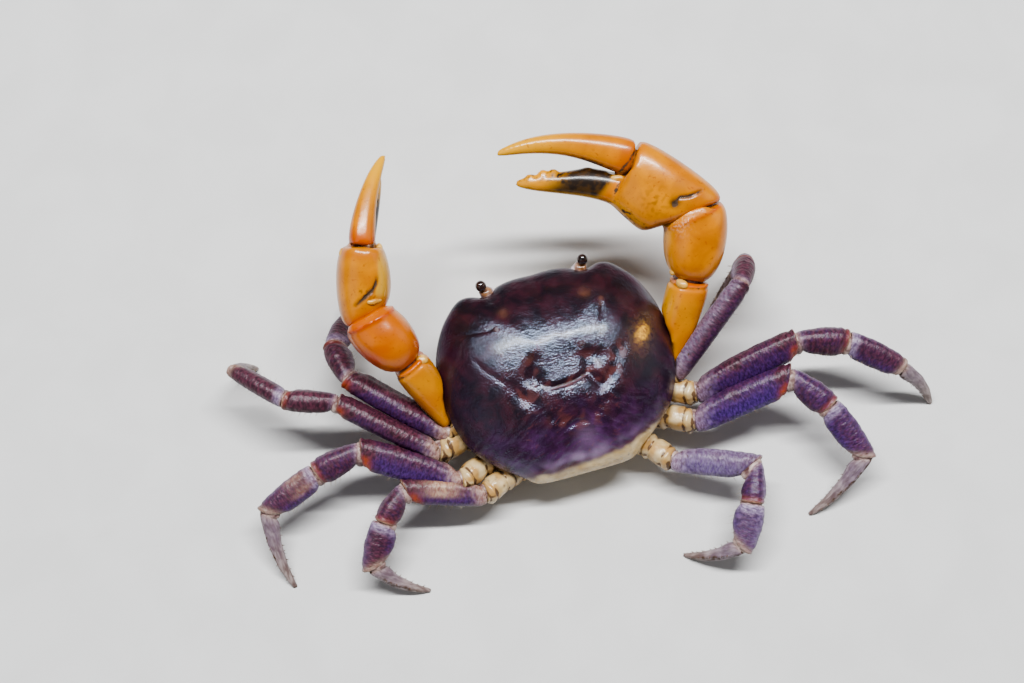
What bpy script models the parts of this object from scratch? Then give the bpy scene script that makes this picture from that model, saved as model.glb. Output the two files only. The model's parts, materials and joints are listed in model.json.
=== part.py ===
"""A small land crab that stands with both claws raised, at life size.

Lengths are in metres, written as millimetres times MM. The crab faces +Y, its
right side is +X and up is +Z. It stands on Z = 0 on the tips of its eight
walking legs, and the middle of its bounding box is over the origin.

The body is drawn level, in a frame whose Z = 0 is the widest line of the
carapace, and is then tipped nose up onto its height. Each limb is a chain of
joints. A segment of a limb is a loft between two joints, and two neighbours
end on the plane that halves the bend between them, half a gap each side of it.
"""

import math

import bmesh
import bpy
from mathutils import Matrix, Vector

MM = 0.001
GAP = 0.3 * MM
SIDES = {"right": 1, "left": -1}

# Body, in its own level frame
CARAPACE_HALF_WIDTH = 18.2 * MM
CARAPACE_FRONT = 15.0 * MM
CARAPACE_REAR = -16.2 * MM
CARAPACE_DOME = 7.3 * MM
CARAPACE_FLOOR = -2.6 * MM
BODY_PITCH = math.radians(10)
BODY_HEIGHT = 11.5 * MM

# Right half of the carapace's edge from the middle of the front to the middle
# of the rear, as shares of the half width and of the front or rear length
CARAPACE_EDGE = [
    (0.00, 1.00), (0.17, 1.01), (0.32, 0.98), (0.47, 0.93), (0.63, 0.955),
    (0.765, 0.82), (0.90, 0.62), (0.98, 0.38), (1.00, 0.11), (0.985, -0.17),
    (0.93, -0.40), (0.825, -0.61), (0.66, -0.78), (0.51, -0.90),
    (0.42, -0.985), (0.22, -1.00), (0.00, -1.00),
]
EDGE_STEPS = 2
EDGE_FRONT_RISE = 0.3 * MM
EDGE_REAR_DROP = 1.0 * MM
DOME_SHARES = (0.97, 0.90, 0.79, 0.64, 0.46, 0.24)
DOME_FULLNESS = 2.5
DOME_ROUNDNESS = 0.6

ORBIT_CENTRE = Vector((8.5, 16.1, 0.7)) * MM
ORBIT_RADII = Vector((2.7, 2.4, 2.1)) * MM
EYESTALK_ROOT = Vector((7.3, 12.6, -1.6)) * MM
EYESTALK_TIP = Vector((8.0, 15.0, 2.3)) * MM
EYESTALK_RADIUS = 0.75 * MM
EYE_RADIUS = 0.95 * MM
ANTENNA_ROOT = Vector((4.4, 12.0, -3.9)) * MM
ANTENNA_TIP = Vector((5.4, 16.2, -2.4)) * MM
ANTENNA_RADIUS = 0.55 * MM

# Level sections of the underside: height, half width, front and rear, in mm
UNDERSIDE_SECTIONS = [
    (-2.9, 15.0, 13.2, -14.6), (-4.2, 13.7, 12.6, -14.3), (-5.4, 12.6, 11.6, -13.6),
    (-6.6, 11.2, 10.2, -12.0), (-7.6, 9.4, 8.2, -10.0), (-8.2, 7.2, 6.0, -7.4),
]

# Path of the abdomen, folded under the body: y, z and half width, in mm
ABDOMEN_PATH = [
    (-14.3, -3.4, 4.9), (-15.0, -4.2, 5.3), (-14.3, -5.5, 5.3), (-12.5, -7.0, 4.9),
    (-9.8, -8.1, 4.2), (-6.4, -8.5, 3.2), (-3.2, -8.6, 2.2), (-0.8, -8.5, 1.1),
]
ABDOMEN_THICKNESS = 1.9 * MM

# Path of a maxilliped over the mouth: x, y, z and half width, in mm
MAXILLIPED_PATH = [
    (2.5, 13.1, -4.4, 1.5), (2.5, 12.2, -5.6, 1.9), (2.3, 10.8, -7.0, 2.0),
    (2.1, 8.9, -8.2, 1.9), (1.9, 7.0, -8.9, 1.4),
]
MAXILLIPED_THICKNESS = 1.9 * MM

# Walking legs, from the first pair behind the claws to the last
LEG_SOCKETS = [
    Vector((12.2, -0.6, -5.4)) * MM,
    Vector((12.2, -4.9, -5.4)) * MM,
    Vector((11.2, -9.0, -5.2)) * MM,
    Vector((8.8, -12.1, -4.8)) * MM,
]
SEGMENTS = ("base", "merus", "carpus", "propodus", "dactyl")
LEG_LENGTHS = [
    (7.9, 17.0, 6.5, 8.0, 9.8),
    (9.4, 17.2, 8.0, 9.4, 11.8),
    (8.9, 16.0, 7.4, 9.4, 12.8),
    (7.9, 12.4, 5.7, 6.8, 10.2),
]
LEG_BREADTHS = [
    (1.00, 0.88, 0.92, 0.90, 0.92),
    (1.00, 1.00, 1.00, 1.00, 1.00),
    (1.00, 1.00, 0.96, 1.00, 1.00),
    (0.92, 0.82, 0.82, 1.06, 0.90),
]

# Pose of each leg: how far a segment turns forward from straight out to the
# side, and how far it rises, in degrees. A dactyl falls as far as the floor.
LEG_POSES = {
    "right": [
        [(-38, 17), (34, 33), (60, -40), (60, -66), -145],
        [(-28, 15), (8, 15), (-15, -5), (-38, -12), -38],
        [(-30, 15), (5, 15), (-52, -10), (-68, -18), -153],
        [(-52, 12), (-25, 15), (-110, -5), (-120, -25), 163],
    ],
    "left": [
        [(-30, 12), (42, 15), (83, -15), (120, -35), 110],
        [(-16, 15), (39, 15), (20, 0), (48, -8), 125],
        [(-26, 15), (30, 12), (-10, -8), (-20, -14), -95],
        [(-25, 12), (15, 12), (-43, -10), (-60, -20), -148],
    ],
}

# Sections along a segment: share of its length, breadth and thickness in mm,
# and how far its middle stands off the straight line towards the inside of
# the leg's bend, in mm. A dactyl is bowed, with its hollow side inward.
LEG_SECTIONS = {
    "base": [(0.0, 4.3, 3.6, 0), (0.28, 4.7, 3.8, 0), (0.42, 4.6, 3.7, 0),
             (0.52, 3.6, 3.2, 0), (0.62, 4.3, 3.6, 0), (0.85, 4.5, 3.7, 0), (1.0, 3.7, 3.0, 0)],
    "merus": [(0.0, 3.5, 2.8, 0), (0.08, 4.2, 3.1, 0), (0.35, 4.9, 3.3, -0.15),
              (0.65, 4.9, 3.3, -0.15), (0.9, 4.7, 3.3, 0), (1.0, 4.2, 3.0, 0)],
    "carpus": [(0.0, 3.1, 2.6, 0), (0.2, 3.6, 3.0, -0.1), (0.55, 4.4, 3.4, -0.2),
               (0.85, 4.5, 3.3, -0.1), (1.0, 4.0, 2.9, 0)],
    "propodus": [(0.0, 3.7, 2.7, 0), (0.15, 4.1, 2.8, 0), (0.5, 4.2, 2.8, -0.1),
                 (0.85, 3.7, 2.6, 0), (1.0, 3.0, 2.2, 0)],
    "dactyl": [(0.0, 2.2, 1.8, 0), (0.12, 2.5, 2.0, -0.15), (0.4, 2.1, 1.7, -0.7),
               (0.7, 1.5, 1.3, -0.65), (0.9, 0.95, 0.9, -0.25), (1.0, 0.7, 0.7, 0)],
}

# Claws. The palm's line runs from the wrist to the roots of its two fingers,
# and its breadth leans forward from upright by the lean. Both fingers turn
# inward from the palm's plane, and the moving one bows outward.
CLAW_SOCKET = Vector((11.0, 3.9, -5.2)) * MM
CLAWS = {
    "right": {
        "poses": [(-38, 10), (57, 40), (71, 37), (143, 15)],
        "lengths": (9.1, 12.3, 10.8, 12.2),
        "lean": 56,
        "size": 1.0,
        "plumpness": 1.0,
        "inward": 0,
        "bow": 0.0,
        "hinge_height": 3.1,
        "finger": (-24, 20.4, 1.9),
        "thumb_height": -2.4,
        "thumb": (-22, 15.2, 1.0),
        "teeth": [(0.30, 0.10), (0.64, 0.65), (0.74, 0.75), (0.86, 0.30)],
    },
    "left": {
        "poses": [(-38, 10), (61, 43), (57, 28), (103, 26)],
        "lengths": (9.1, 10.9, 9.3, 10.8),
        "lean": -4,
        "size": 0.84,
        "plumpness": 1.13,
        "inward": 16,
        "bow": 0.9,
        "hinge_height": 2.4,
        "finger": (-21, 14.8, 1.3),
        "thumb_height": -2.6,
        "thumb": (-22, 11.8, 0.8),
        "teeth": [(0.30, 0.10), (0.48, 0.30), (0.64, 0.45), (0.78, 0.25)],
    },
}
CLAW_SECTIONS = {
    "base": [(0.0, 4.6, 4.2, 0), (0.4, 5.0, 4.6, 0), (0.8, 5.0, 4.8, 0), (1.0, 4.6, 4.4, 0)],
    "merus": [(0.0, 4.4, 4.2, 0), (0.2, 5.2, 4.8, 0), (0.55, 6.0, 5.6, 0),
              (0.9, 6.4, 6.0, 0), (1.0, 5.4, 5.0, 0)],
    "carpus": [(0.0, 5.0, 4.6, 0), (0.12, 7.2, 6.8, 0), (0.35, 9.2, 8.2, 0.2),
               (0.65, 9.8, 8.8, 0.3), (0.88, 9.3, 8.1, 0.1), (1.0, 7.6, 6.6, 0)],
    "palm": [(0.0, 7.4, 6.4, -0.3), (0.12, 9.9, 7.8, -0.6), (0.35, 11.8, 8.7, -0.6),
             (0.65, 12.0, 8.6, 0), (0.9, 11.2, 7.4, 0.5), (1.0, 10.3, 6.2, 0.7)],
    "finger": [(0.0, 4.9, 4.2, 0), (0.07, 5.5, 4.7, 0.12), (0.25, 4.6, 4.2, 0.6),
               (0.5, 3.2, 3.2, 1.0), (0.75, 2.4, 2.4, 0.8), (0.92, 1.5, 1.5, 0.3),
               (1.0, 0.7, 0.7, 0)],
    "thumb": [(-0.3, 4.8, 5.0, 0), (0.0, 4.8, 4.4, 0.3), (0.3, 4.2, 3.7, 0.9), (0.6, 3.0, 2.8, 0.5),
              (0.85, 2.1, 1.9, 0.2), (1.0, 0.8, 0.8, 0)],
}
CLAW_SEGMENTS = ("base", "merus", "carpus")
WRIST_SQUARENESS = 1.5
CARPUS_SPINE_RADIUS = 1.1 * MM
CARPUS_SPINE_TIP_RADIUS = 0.3 * MM
CARPUS_SPINE_LENGTH = 3.2 * MM
CARPUS_SPINE_SET_BACK = 4.2 * MM
CARPUS_SPINE_HEIGHT = 2.6 * MM
CARPUS_SPINE_LEAN = 0.25
TOOTH_RADIUS = 1.2 * MM
TOOTH_CROWN_RADIUS = 0.6 * MM
TOOTH_ROOT_DEPTH = 1.2 * MM
KNUCKLE_CUT_DEPTH = 3.2 * MM
KNUCKLE_CUT_MARGIN = 0.8

LEG_SIDES = 12
CLAW_SIDES = 20
BODY_SIDES = 40
SQUARENESS = 2.4

COLOURS = {
    "purple": ((0.055, 0.012, 0.035), 0.22),
    "violet": ((0.13, 0.045, 0.14), 0.38),
    "cream": ((0.66, 0.50, 0.28), 0.45),
    "orange": ((0.78, 0.26, 0.02), 0.30),
    "dark": ((0.02, 0.01, 0.008), 0.08),
}


def clear_scene():
    """Remove every object that the file starts with."""
    for thing in list(bpy.data.objects):
        bpy.data.objects.remove(thing, do_unlink=True)


def new_material(name, finish):
    """Make one Principled material from a colour and a roughness."""
    colour, roughness = COLOURS[finish]
    material = bpy.data.materials.new(name)
    material.use_nodes = True
    shader = material.node_tree.nodes["Principled BSDF"]
    shader.inputs["Base Color"].default_value = (*colour, 1.0)
    shader.inputs["Roughness"].default_value = roughness
    shader.inputs["Metallic"].default_value = 0.0
    return material


def body_matrix():
    """Where the level body stands: nose up, at its height."""
    return Matrix.Translation((0, 0, BODY_HEIGHT)) @ Matrix.Rotation(BODY_PITCH, 4, "X")


def from_body(point):
    """Take a point of the level body to its place in the standing crab."""
    return body_matrix() @ Vector(point)


def new_object(name, mesh_data, finish, collection):
    """Put a closed bmesh into the scene as a smooth, coloured object."""
    bmesh.ops.recalc_face_normals(mesh_data, faces=mesh_data.faces)
    if mesh_data.calc_volume(signed=True) < 0:
        bmesh.ops.reverse_faces(mesh_data, faces=mesh_data.faces)
    mesh = bpy.data.meshes.new(name)
    mesh_data.to_mesh(mesh)
    mesh_data.free()
    mesh.shade_smooth()
    mesh.set_sharp_from_angle(angle=math.radians(50))
    mesh.materials.append(new_material(name, finish))
    thing = bpy.data.objects.new(name, mesh)
    collection.objects.link(thing)
    return thing


def loft(rings):
    """Skin rings of equally many points, with a flat cap on each end."""
    skin = bmesh.new()
    loops = [[skin.verts.new(point) for point in ring] for ring in rings]
    for near, far in zip(loops, loops[1:]):
        for i in range(len(near)):
            j = (i + 1) % len(near)
            skin.faces.new((near[i], near[j], far[j], far[i]))
    skin.faces.new(list(reversed(loops[0])))
    skin.faces.new(loops[-1])
    return skin


def rounded(angle, squareness):
    """Cosine and sine of an angle on a circle pushed towards a square."""
    c, s = math.cos(angle), math.sin(angle)
    power = 2.0 / squareness
    return math.copysign(abs(c) ** power, c), math.copysign(abs(s) ** power, s)


def catmull_rom(points, steps):
    """Smooth open curve through 2D points, with a few steps in each span."""
    ends = [points[0]] + list(points) + [points[-1]]
    curve = []
    for a, b, c, d in zip(ends, ends[1:], ends[2:], ends[3:]):
        for step in range(steps):
            t = step / steps
            curve.append(tuple(
                0.5 * (2 * q + (r - p) * t + (2 * p - 5 * q + 4 * r - s) * t ** 2
                       + (3 * q - p - 3 * r + s) * t ** 3)
                for p, q, r, s in zip(a, b, c, d)))
    curve.append(tuple(points[-1]))
    return curve


def apply_boolean(thing, cutters, operation, solver="EXACT"):
    """Join or cut a thing with a collection of closed meshes, then tidy up."""
    modifier = thing.modifiers.new("shape", "BOOLEAN")
    modifier.operation = operation
    modifier.operand_type = "COLLECTION"
    modifier.collection = cutters
    modifier.solver = solver
    bpy.context.view_layer.update()
    depsgraph = bpy.context.evaluated_depsgraph_get()
    result = bpy.data.meshes.new_from_object(thing.evaluated_get(depsgraph))
    thing.modifiers.remove(modifier)
    old = thing.data
    thing.data = result
    bpy.data.meshes.remove(old)
    for cutter in list(cutters.objects):
        bpy.data.objects.remove(cutter, do_unlink=True)
    keep_largest(thing)


def keep_largest(thing):
    """Keep only the largest closed surface of a mesh."""
    shape = bmesh.new()
    shape.from_mesh(thing.data)
    bmesh.ops.remove_doubles(shape, verts=shape.verts, dist=0.002 * MM)
    bmesh.ops.triangulate(shape, faces=shape.faces)
    bmesh.ops.dissolve_degenerate(shape, edges=shape.edges, dist=0.002 * MM)
    waiting = set(shape.faces)
    pieces = []
    while waiting:
        piece = {waiting.pop()}
        front = list(piece)
        while front:
            for edge in front.pop().edges:
                for face in edge.link_faces:
                    if face in waiting:
                        waiting.remove(face)
                        piece.add(face)
                        front.append(face)
        pieces.append(piece)
    largest = max(pieces, key=lambda faces: sum(face.calc_area() for face in faces))
    loose = [face for face in shape.faces if face not in largest]
    bmesh.ops.delete(shape, geom=loose, context="FACES")
    bmesh.ops.recalc_face_normals(shape, faces=shape.faces)
    shape.to_mesh(thing.data)
    shape.free()
    thing.data.shade_smooth()
    thing.data.set_sharp_from_angle(angle=math.radians(50))


def carapace_edge():
    """Closed outline of the carapace seen from above, in the level frame."""
    right = catmull_rom(CARAPACE_EDGE, EDGE_STEPS)
    left = [(-x, y) for x, y in reversed(right[1:-1])]
    edge = []
    for x, y in right + left:
        reach = CARAPACE_FRONT if y > 0 else -CARAPACE_REAR
        edge.append((x * CARAPACE_HALF_WIDTH, y * reach))
    return edge


def edge_height(y):
    """Height of the carapace's widest line, lower at the rear."""
    if y > 0:
        return EDGE_FRONT_RISE * (y / CARAPACE_FRONT) ** 2
    return -EDGE_REAR_DROP * (y / CARAPACE_REAR) ** 2


def carapace_shape(grow):
    """The shell over the back: a dome on a rolled rim, flat underneath."""
    edge = carapace_edge()
    wide = 1 + grow / CARAPACE_HALF_WIDTH
    rings = []
    for share, depth in ((0.88, 1.0), (0.955, 0.62), (0.995, 0.25)):
        rings.append([Vector((x * share * wide, y * share * wide,
                              edge_height(y) + (CARAPACE_FLOOR - grow - edge_height(y)) * depth))
                      for x, y in edge])
    rings.append([Vector((x * wide, y * wide, edge_height(y))) for x, y in edge])
    for share in DOME_SHARES:
        rise = (CARAPACE_DOME + grow) * (1 - share ** DOME_FULLNESS) ** DOME_ROUNDNESS
        rings.append([Vector((x * share * wide, y * share * wide,
                              rise + edge_height(y) * share ** 2)) for x, y in edge])
    skin = loft(rings)
    skin.transform(body_matrix())
    return skin


def orbit_cutters(collection, shrink):
    """The two hollows in the front that the eyestalks stand in."""
    for side in SIDES.values():
        hollow = bmesh.new()
        bmesh.ops.create_uvsphere(hollow, u_segments=16, v_segments=10, radius=1.0)
        radii = ORBIT_RADII - Vector((shrink, shrink, shrink))
        centre = Vector((side * ORBIT_CENTRE.x, ORBIT_CENTRE.y, ORBIT_CENTRE.z))
        hollow.transform(body_matrix() @ Matrix.Translation(centre) @ Matrix.Diagonal((*radii, 1)))
        new_object("orbit", hollow, "dark", collection)


def underside_shape(grow):
    """The chest under the carapace, narrowing towards the ground."""
    rings = []
    for z, half_width, front, rear in UNDERSIDE_SECTIONS:
        middle = (front + rear) / 2 * MM
        half_length = (front - rear) / 2 * MM + grow
        ring = []
        for i in range(BODY_SIDES):
            c, s = rounded(math.tau * i / BODY_SIDES, SQUARENESS)
            ring.append(Vector((c * (half_width * MM + grow), middle + s * half_length, z * MM)))
        rings.append(ring)
    if grow:
        rings[0] = [point + Vector((0, 0, grow)) for point in rings[0]]
        rings[-1] = [point - Vector((0, 0, grow)) for point in rings[-1]]
    skin = loft(rings)
    skin.transform(body_matrix())
    return skin


def plate_on_path(centres, normals, half_widths, thickness):
    """A strip that follows a path, with rounded sides and the given normals."""
    rings = []
    for centre, normal, half_width in zip(centres, normals, half_widths):
        across = Vector((1, 0, 0))
        ring = []
        for i in range(LEG_SIDES):
            c, s = rounded(math.tau * i / LEG_SIDES, SQUARENESS)
            ring.append(centre + across * (c * half_width) + normal * (s * thickness / 2))
        rings.append(ring)
    skin = loft(rings)
    skin.transform(body_matrix())
    return skin


def path_normals(path):
    """Outward normals of a path in the YZ plane that runs under the body."""
    normals = []
    for i in range(len(path)):
        before, after = path[max(i - 1, 0)], path[min(i + 1, len(path) - 1)]
        along = (after - before).normalized()
        normal = Vector((1, 0, 0)).cross(along)
        normals.append(normal if normal.dot(path[i]) > 0 else -normal)
    return normals


def section(centre, broad, thin, breadth, thickness, sides):
    """One rounded ring across a limb."""
    ring = []
    for i in range(sides):
        c, s = rounded(math.tau * i / sides, SQUARENESS)
        ring.append(centre + broad * (c * breadth / 2) + thin * (s * thickness / 2))
    return ring


def limb_segment(start, end, planes, broad, sections, sides,
                 size=1.0, breadth=1.0, grow=0.0, bow=0.0):
    """Loft a segment between two joints, cut square to the joint's plane.

    Near each end the rings slide along the segment onto the plane there, and
    the first and last stop half a gap short of it. Grow swells all of it, and
    bow bends its middle sideways.
    """
    along = end - start
    length = along.length
    along.normalize()
    broad = (broad - along * broad.dot(along)).normalized()
    thin = along.cross(broad)
    rings = []
    for share, wide, thick, stand_off in sections:
        middle = start + along * (share * length)
        bent = thin * (bow * 4 * share * (1 - share))
        centre = middle + broad * (stand_off * MM * size) + bent
        ring = section(centre, broad, thin, wide * MM * size * breadth + 2 * grow,
                       thick * MM * size + 2 * grow, sides)
        ends = ((planes[0], max(0.0, 1 - 2 * share), 1), (planes[1], max(0.0, 2 * share - 1), -1))
        slid = []
        for point in ring:
            offset = point - middle
            for plane, weight, sign in ends:
                if plane is not None and weight > 0:
                    slide = (sign * (GAP / 2 - grow) - plane.dot(offset)) / plane.dot(along)
                    point = point + along * (slide * weight)
            slid.append(point)
        rings.append(slid)
    return loft(rings)


def heading(side, turn, rise):
    """Unit direction from a turn forward of sideways and a rise, in degrees."""
    flat = math.cos(math.radians(rise))
    return Vector((side * flat * math.cos(math.radians(turn)),
                   flat * math.sin(math.radians(turn)),
                   math.sin(math.radians(rise))))


def halving_planes(points):
    """Normals of the planes that halve the bends of a chain of joints."""
    directions = [(b - a).normalized() for a, b in zip(points, points[1:])]
    return [None] + [(a + b).normalized() for a, b in zip(directions, directions[1:])] + [None]


def leg_joints(side_name, pair):
    """Joints of one walking leg, from its socket to its tip on the floor."""
    side = SIDES[side_name]
    socket = LEG_SOCKETS[pair]
    points = [from_body((side * socket.x, socket.y, socket.z))]
    lengths = LEG_LENGTHS[pair]
    *upper, last_turn = LEG_POSES[side_name][pair]
    for length, (turn, rise) in zip(lengths, upper):
        points.append(points[-1] + heading(side, turn, rise) * length * MM)
    last = lengths[-1] * MM
    fall = -math.degrees(math.asin(points[-1].z / last))
    points.append(points[-1] + heading(side, last_turn, fall) * last)
    return points


def flatten_on_floor(shape):
    """Cut a tip off level at the floor, which leaves its small flat sole."""
    bmesh.ops.bisect_plane(shape, geom=shape.verts[:] + shape.edges[:] + shape.faces[:],
                           plane_co=(0, 0, 0), plane_no=(0, 0, -1), clear_outer=True)
    rim = [edge for edge in shape.edges if edge.is_boundary]
    bmesh.ops.holes_fill(shape, edges=rim)


def trim(thing, shapes, cutters):
    """Cut a piece clear of some swollen neighbours."""
    for shape in shapes:
        new_object("trim", shape, "dark", cutters)
    apply_boolean(thing, cutters, "DIFFERENCE")


def body_trims():
    """The body, swollen by the gap."""
    return [underside_shape(GAP), carapace_shape(GAP)]


def leg_segment_shape(side_name, pair, i, grow=0.0):
    """One segment of a walking leg, its breadth in the plane that the leg bends in."""
    points = leg_joints(side_name, pair)
    merus = points[2] - points[1]
    beyond = (points[4] - points[3]).normalized() + (points[5] - points[4]).normalized()
    hinge = merus.cross(beyond).normalized()
    broad = hinge.cross(points[i + 1] - points[i]) if i else Vector((0, 0, 1))
    return limb_segment(points[i], points[i + 1], halving_planes(points)[i:i + 2], broad,
                        LEG_SECTIONS[SEGMENTS[i]], LEG_SIDES,
                        breadth=LEG_BREADTHS[pair][i], grow=grow)


def build_leg(side_name, pair, model, cutters):
    """One walking leg, its base and merus trimmed to the body and the limb ahead."""
    for i, segment in enumerate(SEGMENTS):
        shape = leg_segment_shape(side_name, pair, i)
        if segment == "dactyl":
            flatten_on_floor(shape)
        name = f"{side_name}_leg{pair + 1}_{segment}"
        thing = new_object(name, shape, "cream" if segment == "base" else "violet", model)
        if segment in ("base", "merus"):
            ahead = [leg_segment_shape(side_name, pair - 1, j, GAP) if pair
                     else claw_segment_shape(side_name, j, GAP) for j in (0, 1)]
            trim(thing, body_trims() + ahead, cutters)


def claw_joints(side_name):
    """Joints of one claw, from its socket to the roots of its fingers."""
    side = SIDES[side_name]
    claw = CLAWS[side_name]
    points = [from_body((side * CLAW_SOCKET.x, CLAW_SOCKET.y, CLAW_SOCKET.z))]
    for length, (turn, rise) in zip(claw["lengths"], claw["poses"]):
        points.append(points[-1] + heading(side, turn, rise) * length * MM)
    return points


def palm_axes(points, lean, side):
    """Directions along the palm and across its breadth."""
    along = (points[4] - points[3]).normalized()
    upright = Vector((0, 0, 1))
    upright = (upright - along * upright.dot(along)).normalized()
    forward = along.cross(upright) * side
    angle = math.radians(lean)
    broad = upright * math.cos(angle) + forward * math.sin(angle)
    return along, broad


def finger_way(side_name, along, broad, turn):
    """Direction of a finger, turned in the palm's plane and then inward."""
    turn = math.radians(turn)
    inward = math.radians(CLAWS[side_name]["inward"])
    inner = along.cross(broad) * -SIDES[side_name]
    flat = along * math.cos(turn) + broad * math.sin(turn)
    return flat * math.cos(inward) + inner * math.sin(inward)


def claw_planes(points):
    """Cutting planes at a claw's joints; the wrist is squarer to the carpus than to the palm."""
    planes = halving_planes(points)
    carpus_way = (points[3] - points[2]).normalized()
    palm_way = (points[4] - points[3]).normalized()
    planes[3] = (carpus_way * WRIST_SQUARENESS + palm_way).normalized()
    return planes


def claw_segment_shape(side_name, i, grow=0.0):
    """The base, merus or carpus of a claw, alike on both sides."""
    points = claw_joints(side_name)
    _, broad = palm_axes(points, CLAWS[side_name]["lean"], SIDES[side_name])
    return limb_segment(points[i], points[i + 1], claw_planes(points)[i:i + 2],
                        broad if i else Vector((0, 0, 1)), CLAW_SECTIONS[CLAW_SEGMENTS[i]],
                        CLAW_SIDES, grow=grow)


def build_claw(side_name, model, cutters, joined):
    """One claw: base, merus, carpus, palm with its fixed finger, and finger."""
    claw = CLAWS[side_name]
    size = claw["size"]
    points = claw_joints(side_name)
    planes = claw_planes(points)
    along, broad = palm_axes(points, claw["lean"], SIDES[side_name])
    for i, segment in enumerate(CLAW_SEGMENTS):
        thing = new_object(f"{side_name}_claw_{segment}", claw_segment_shape(side_name, i),
                           "cream" if segment == "base" else "orange", model)
        if segment == "carpus":
            add_carpus_spine(thing, points, planes[3], broad, joined)
        else:
            trim(thing, body_trims(), cutters)

    way = finger_way(side_name, along, broad, claw["finger"][0])
    hinge = points[4] + broad * (claw["hinge_height"] * MM)
    hinge_plane = (along + way).normalized()

    palm_sections = [(share, wide, thick * claw["plumpness"], stand_off)
                     for share, wide, thick, stand_off in CLAW_SECTIONS["palm"]]
    palm = limb_segment(points[3], points[4], [planes[3], None], broad,
                        palm_sections, CLAW_SIDES, size=size)
    palm = new_object(f"{side_name}_claw_palm", palm, "orange", model)
    add_fixed_finger(palm, side_name, points, along, broad, joined)
    cut_knuckle(palm, hinge, hinge_plane, claw, cutters)

    tip = hinge + way * (claw["finger"][1] * MM)
    finger = limb_segment(hinge, tip, [hinge_plane, None], broad,
                          arched_sections("finger", claw["finger"][2]),
                          CLAW_SIDES, size=size, bow=SIDES[side_name] * claw["bow"] * MM)
    new_object(f"{side_name}_claw_finger", finger, "orange", model)


def arched_sections(finger, arch):
    """Sections of a finger, arched by its own amount."""
    return [(share, wide, thick, stand_off * arch) for share, wide, thick, stand_off
            in CLAW_SECTIONS[finger]]


def upper_edge(sections, share):
    """Height of a finger's cutting edge above its line, between two sections, in mm."""
    for (before, wide, _, stand_off), (after, next_wide, _, next_stand_off) in zip(sections, sections[1:]):
        if before <= share <= after:
            part = (share - before) / (after - before)
            return (stand_off + (next_stand_off - stand_off) * part
                    + (wide + (next_wide - wide) * part) / 2)
    return 0.0


def cone_between(root, tip, radius, tip_radius, sides, name, finish, collection):
    """A closed tapered peg from one point to another."""
    peg = bmesh.new()
    axis = tip - root
    bmesh.ops.create_cone(peg, cap_ends=True, segments=sides, radius1=radius,
                          radius2=tip_radius, depth=axis.length)
    turn = axis.to_track_quat("Z", "Y").to_matrix().to_4x4()
    peg.transform(Matrix.Translation((root + tip) / 2) @ turn)
    return new_object(name, peg, finish, collection)


def add_carpus_spine(carpus, points, plane, broad, joined):
    """The blunt spine at the inner front corner of the carpus."""
    along = (points[3] - points[2]).normalized()
    root = points[3] - along * CARPUS_SPINE_SET_BACK + broad * CARPUS_SPINE_HEIGHT
    tip = root + (along + broad * CARPUS_SPINE_LEAN).normalized() * CARPUS_SPINE_LENGTH
    tip = tip - plane * max(0.0, plane.dot(tip - points[3]) + GAP)
    cone_between(root, tip, CARPUS_SPINE_RADIUS, CARPUS_SPINE_TIP_RADIUS, 10,
                 "spine", "orange", joined)
    apply_boolean(carpus, joined, "UNION")


def add_fixed_finger(palm, side_name, points, along, broad, joined):
    """The fixed finger with its blunt teeth, joined to the palm."""
    claw = CLAWS[side_name]
    size = claw["size"]
    turn, length, arch = claw["thumb"]
    way = finger_way(side_name, along, broad, turn)
    upper = (broad - way * broad.dot(way)).normalized()
    root = points[4] + broad * (claw["thumb_height"] * MM)
    tip = root + way * (length * MM)
    sections = arched_sections("thumb", arch)
    shape = limb_segment(root, tip, [None, None], broad, sections, CLAW_SIDES, size=size)
    new_object("thumb", shape, "orange", joined)
    for share, height in claw["teeth"]:
        edge = upper_edge(sections, share) * MM * size
        foot = root + way * (share * length * MM) + upper * (edge - TOOTH_ROOT_DEPTH)
        crown = root + way * (share * length * MM) + upper * (edge + height * MM)
        cone_between(foot, crown, TOOTH_RADIUS * size, TOOTH_CROWN_RADIUS * size, 8,
                     "tooth", "orange", joined)
    apply_boolean(palm, joined, "UNION", "MANIFOLD")


def cut_knuckle(palm, hinge, plane, claw, cutters):
    """Cut the palm back to half a gap behind the moving finger's root."""
    root_breadth = CLAW_SECTIONS["finger"][0][1]
    radius = (root_breadth / 2 + KNUCKLE_CUT_MARGIN) * MM * claw["size"]
    centre = hinge + plane * (KNUCKLE_CUT_DEPTH / 2 - GAP / 2)
    block = bmesh.new()
    bmesh.ops.create_cone(block, cap_ends=True, segments=CLAW_SIDES, depth=KNUCKLE_CUT_DEPTH,
                          radius1=radius, radius2=radius)
    turn = plane.to_track_quat("Z", "Y").to_matrix().to_4x4()
    block.transform(Matrix.Translation(centre) @ turn)
    new_object("knuckle", block, "dark", cutters)
    apply_boolean(palm, cutters, "DIFFERENCE", "MANIFOLD")


def build_carapace(model, cutters):
    """The back shell with its two eye hollows."""
    shell = new_object("carapace", carapace_shape(0.0), "purple", model)
    orbit_cutters(cutters, 0.0)
    apply_boolean(shell, cutters, "DIFFERENCE")


def build_underside(model, joined):
    """The chest with the short antennae on its face."""
    chest = new_object("underside", underside_shape(0.0), "cream", model)
    for side in SIDES.values():
        root = from_body((side * ANTENNA_ROOT.x, ANTENNA_ROOT.y, ANTENNA_ROOT.z))
        tip = from_body((side * ANTENNA_TIP.x, ANTENNA_TIP.y, ANTENNA_TIP.z))
        cone_between(root, tip, ANTENNA_RADIUS, 0.25 * MM, 8, "antenna", "cream", joined)
    apply_boolean(chest, joined, "UNION")


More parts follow.
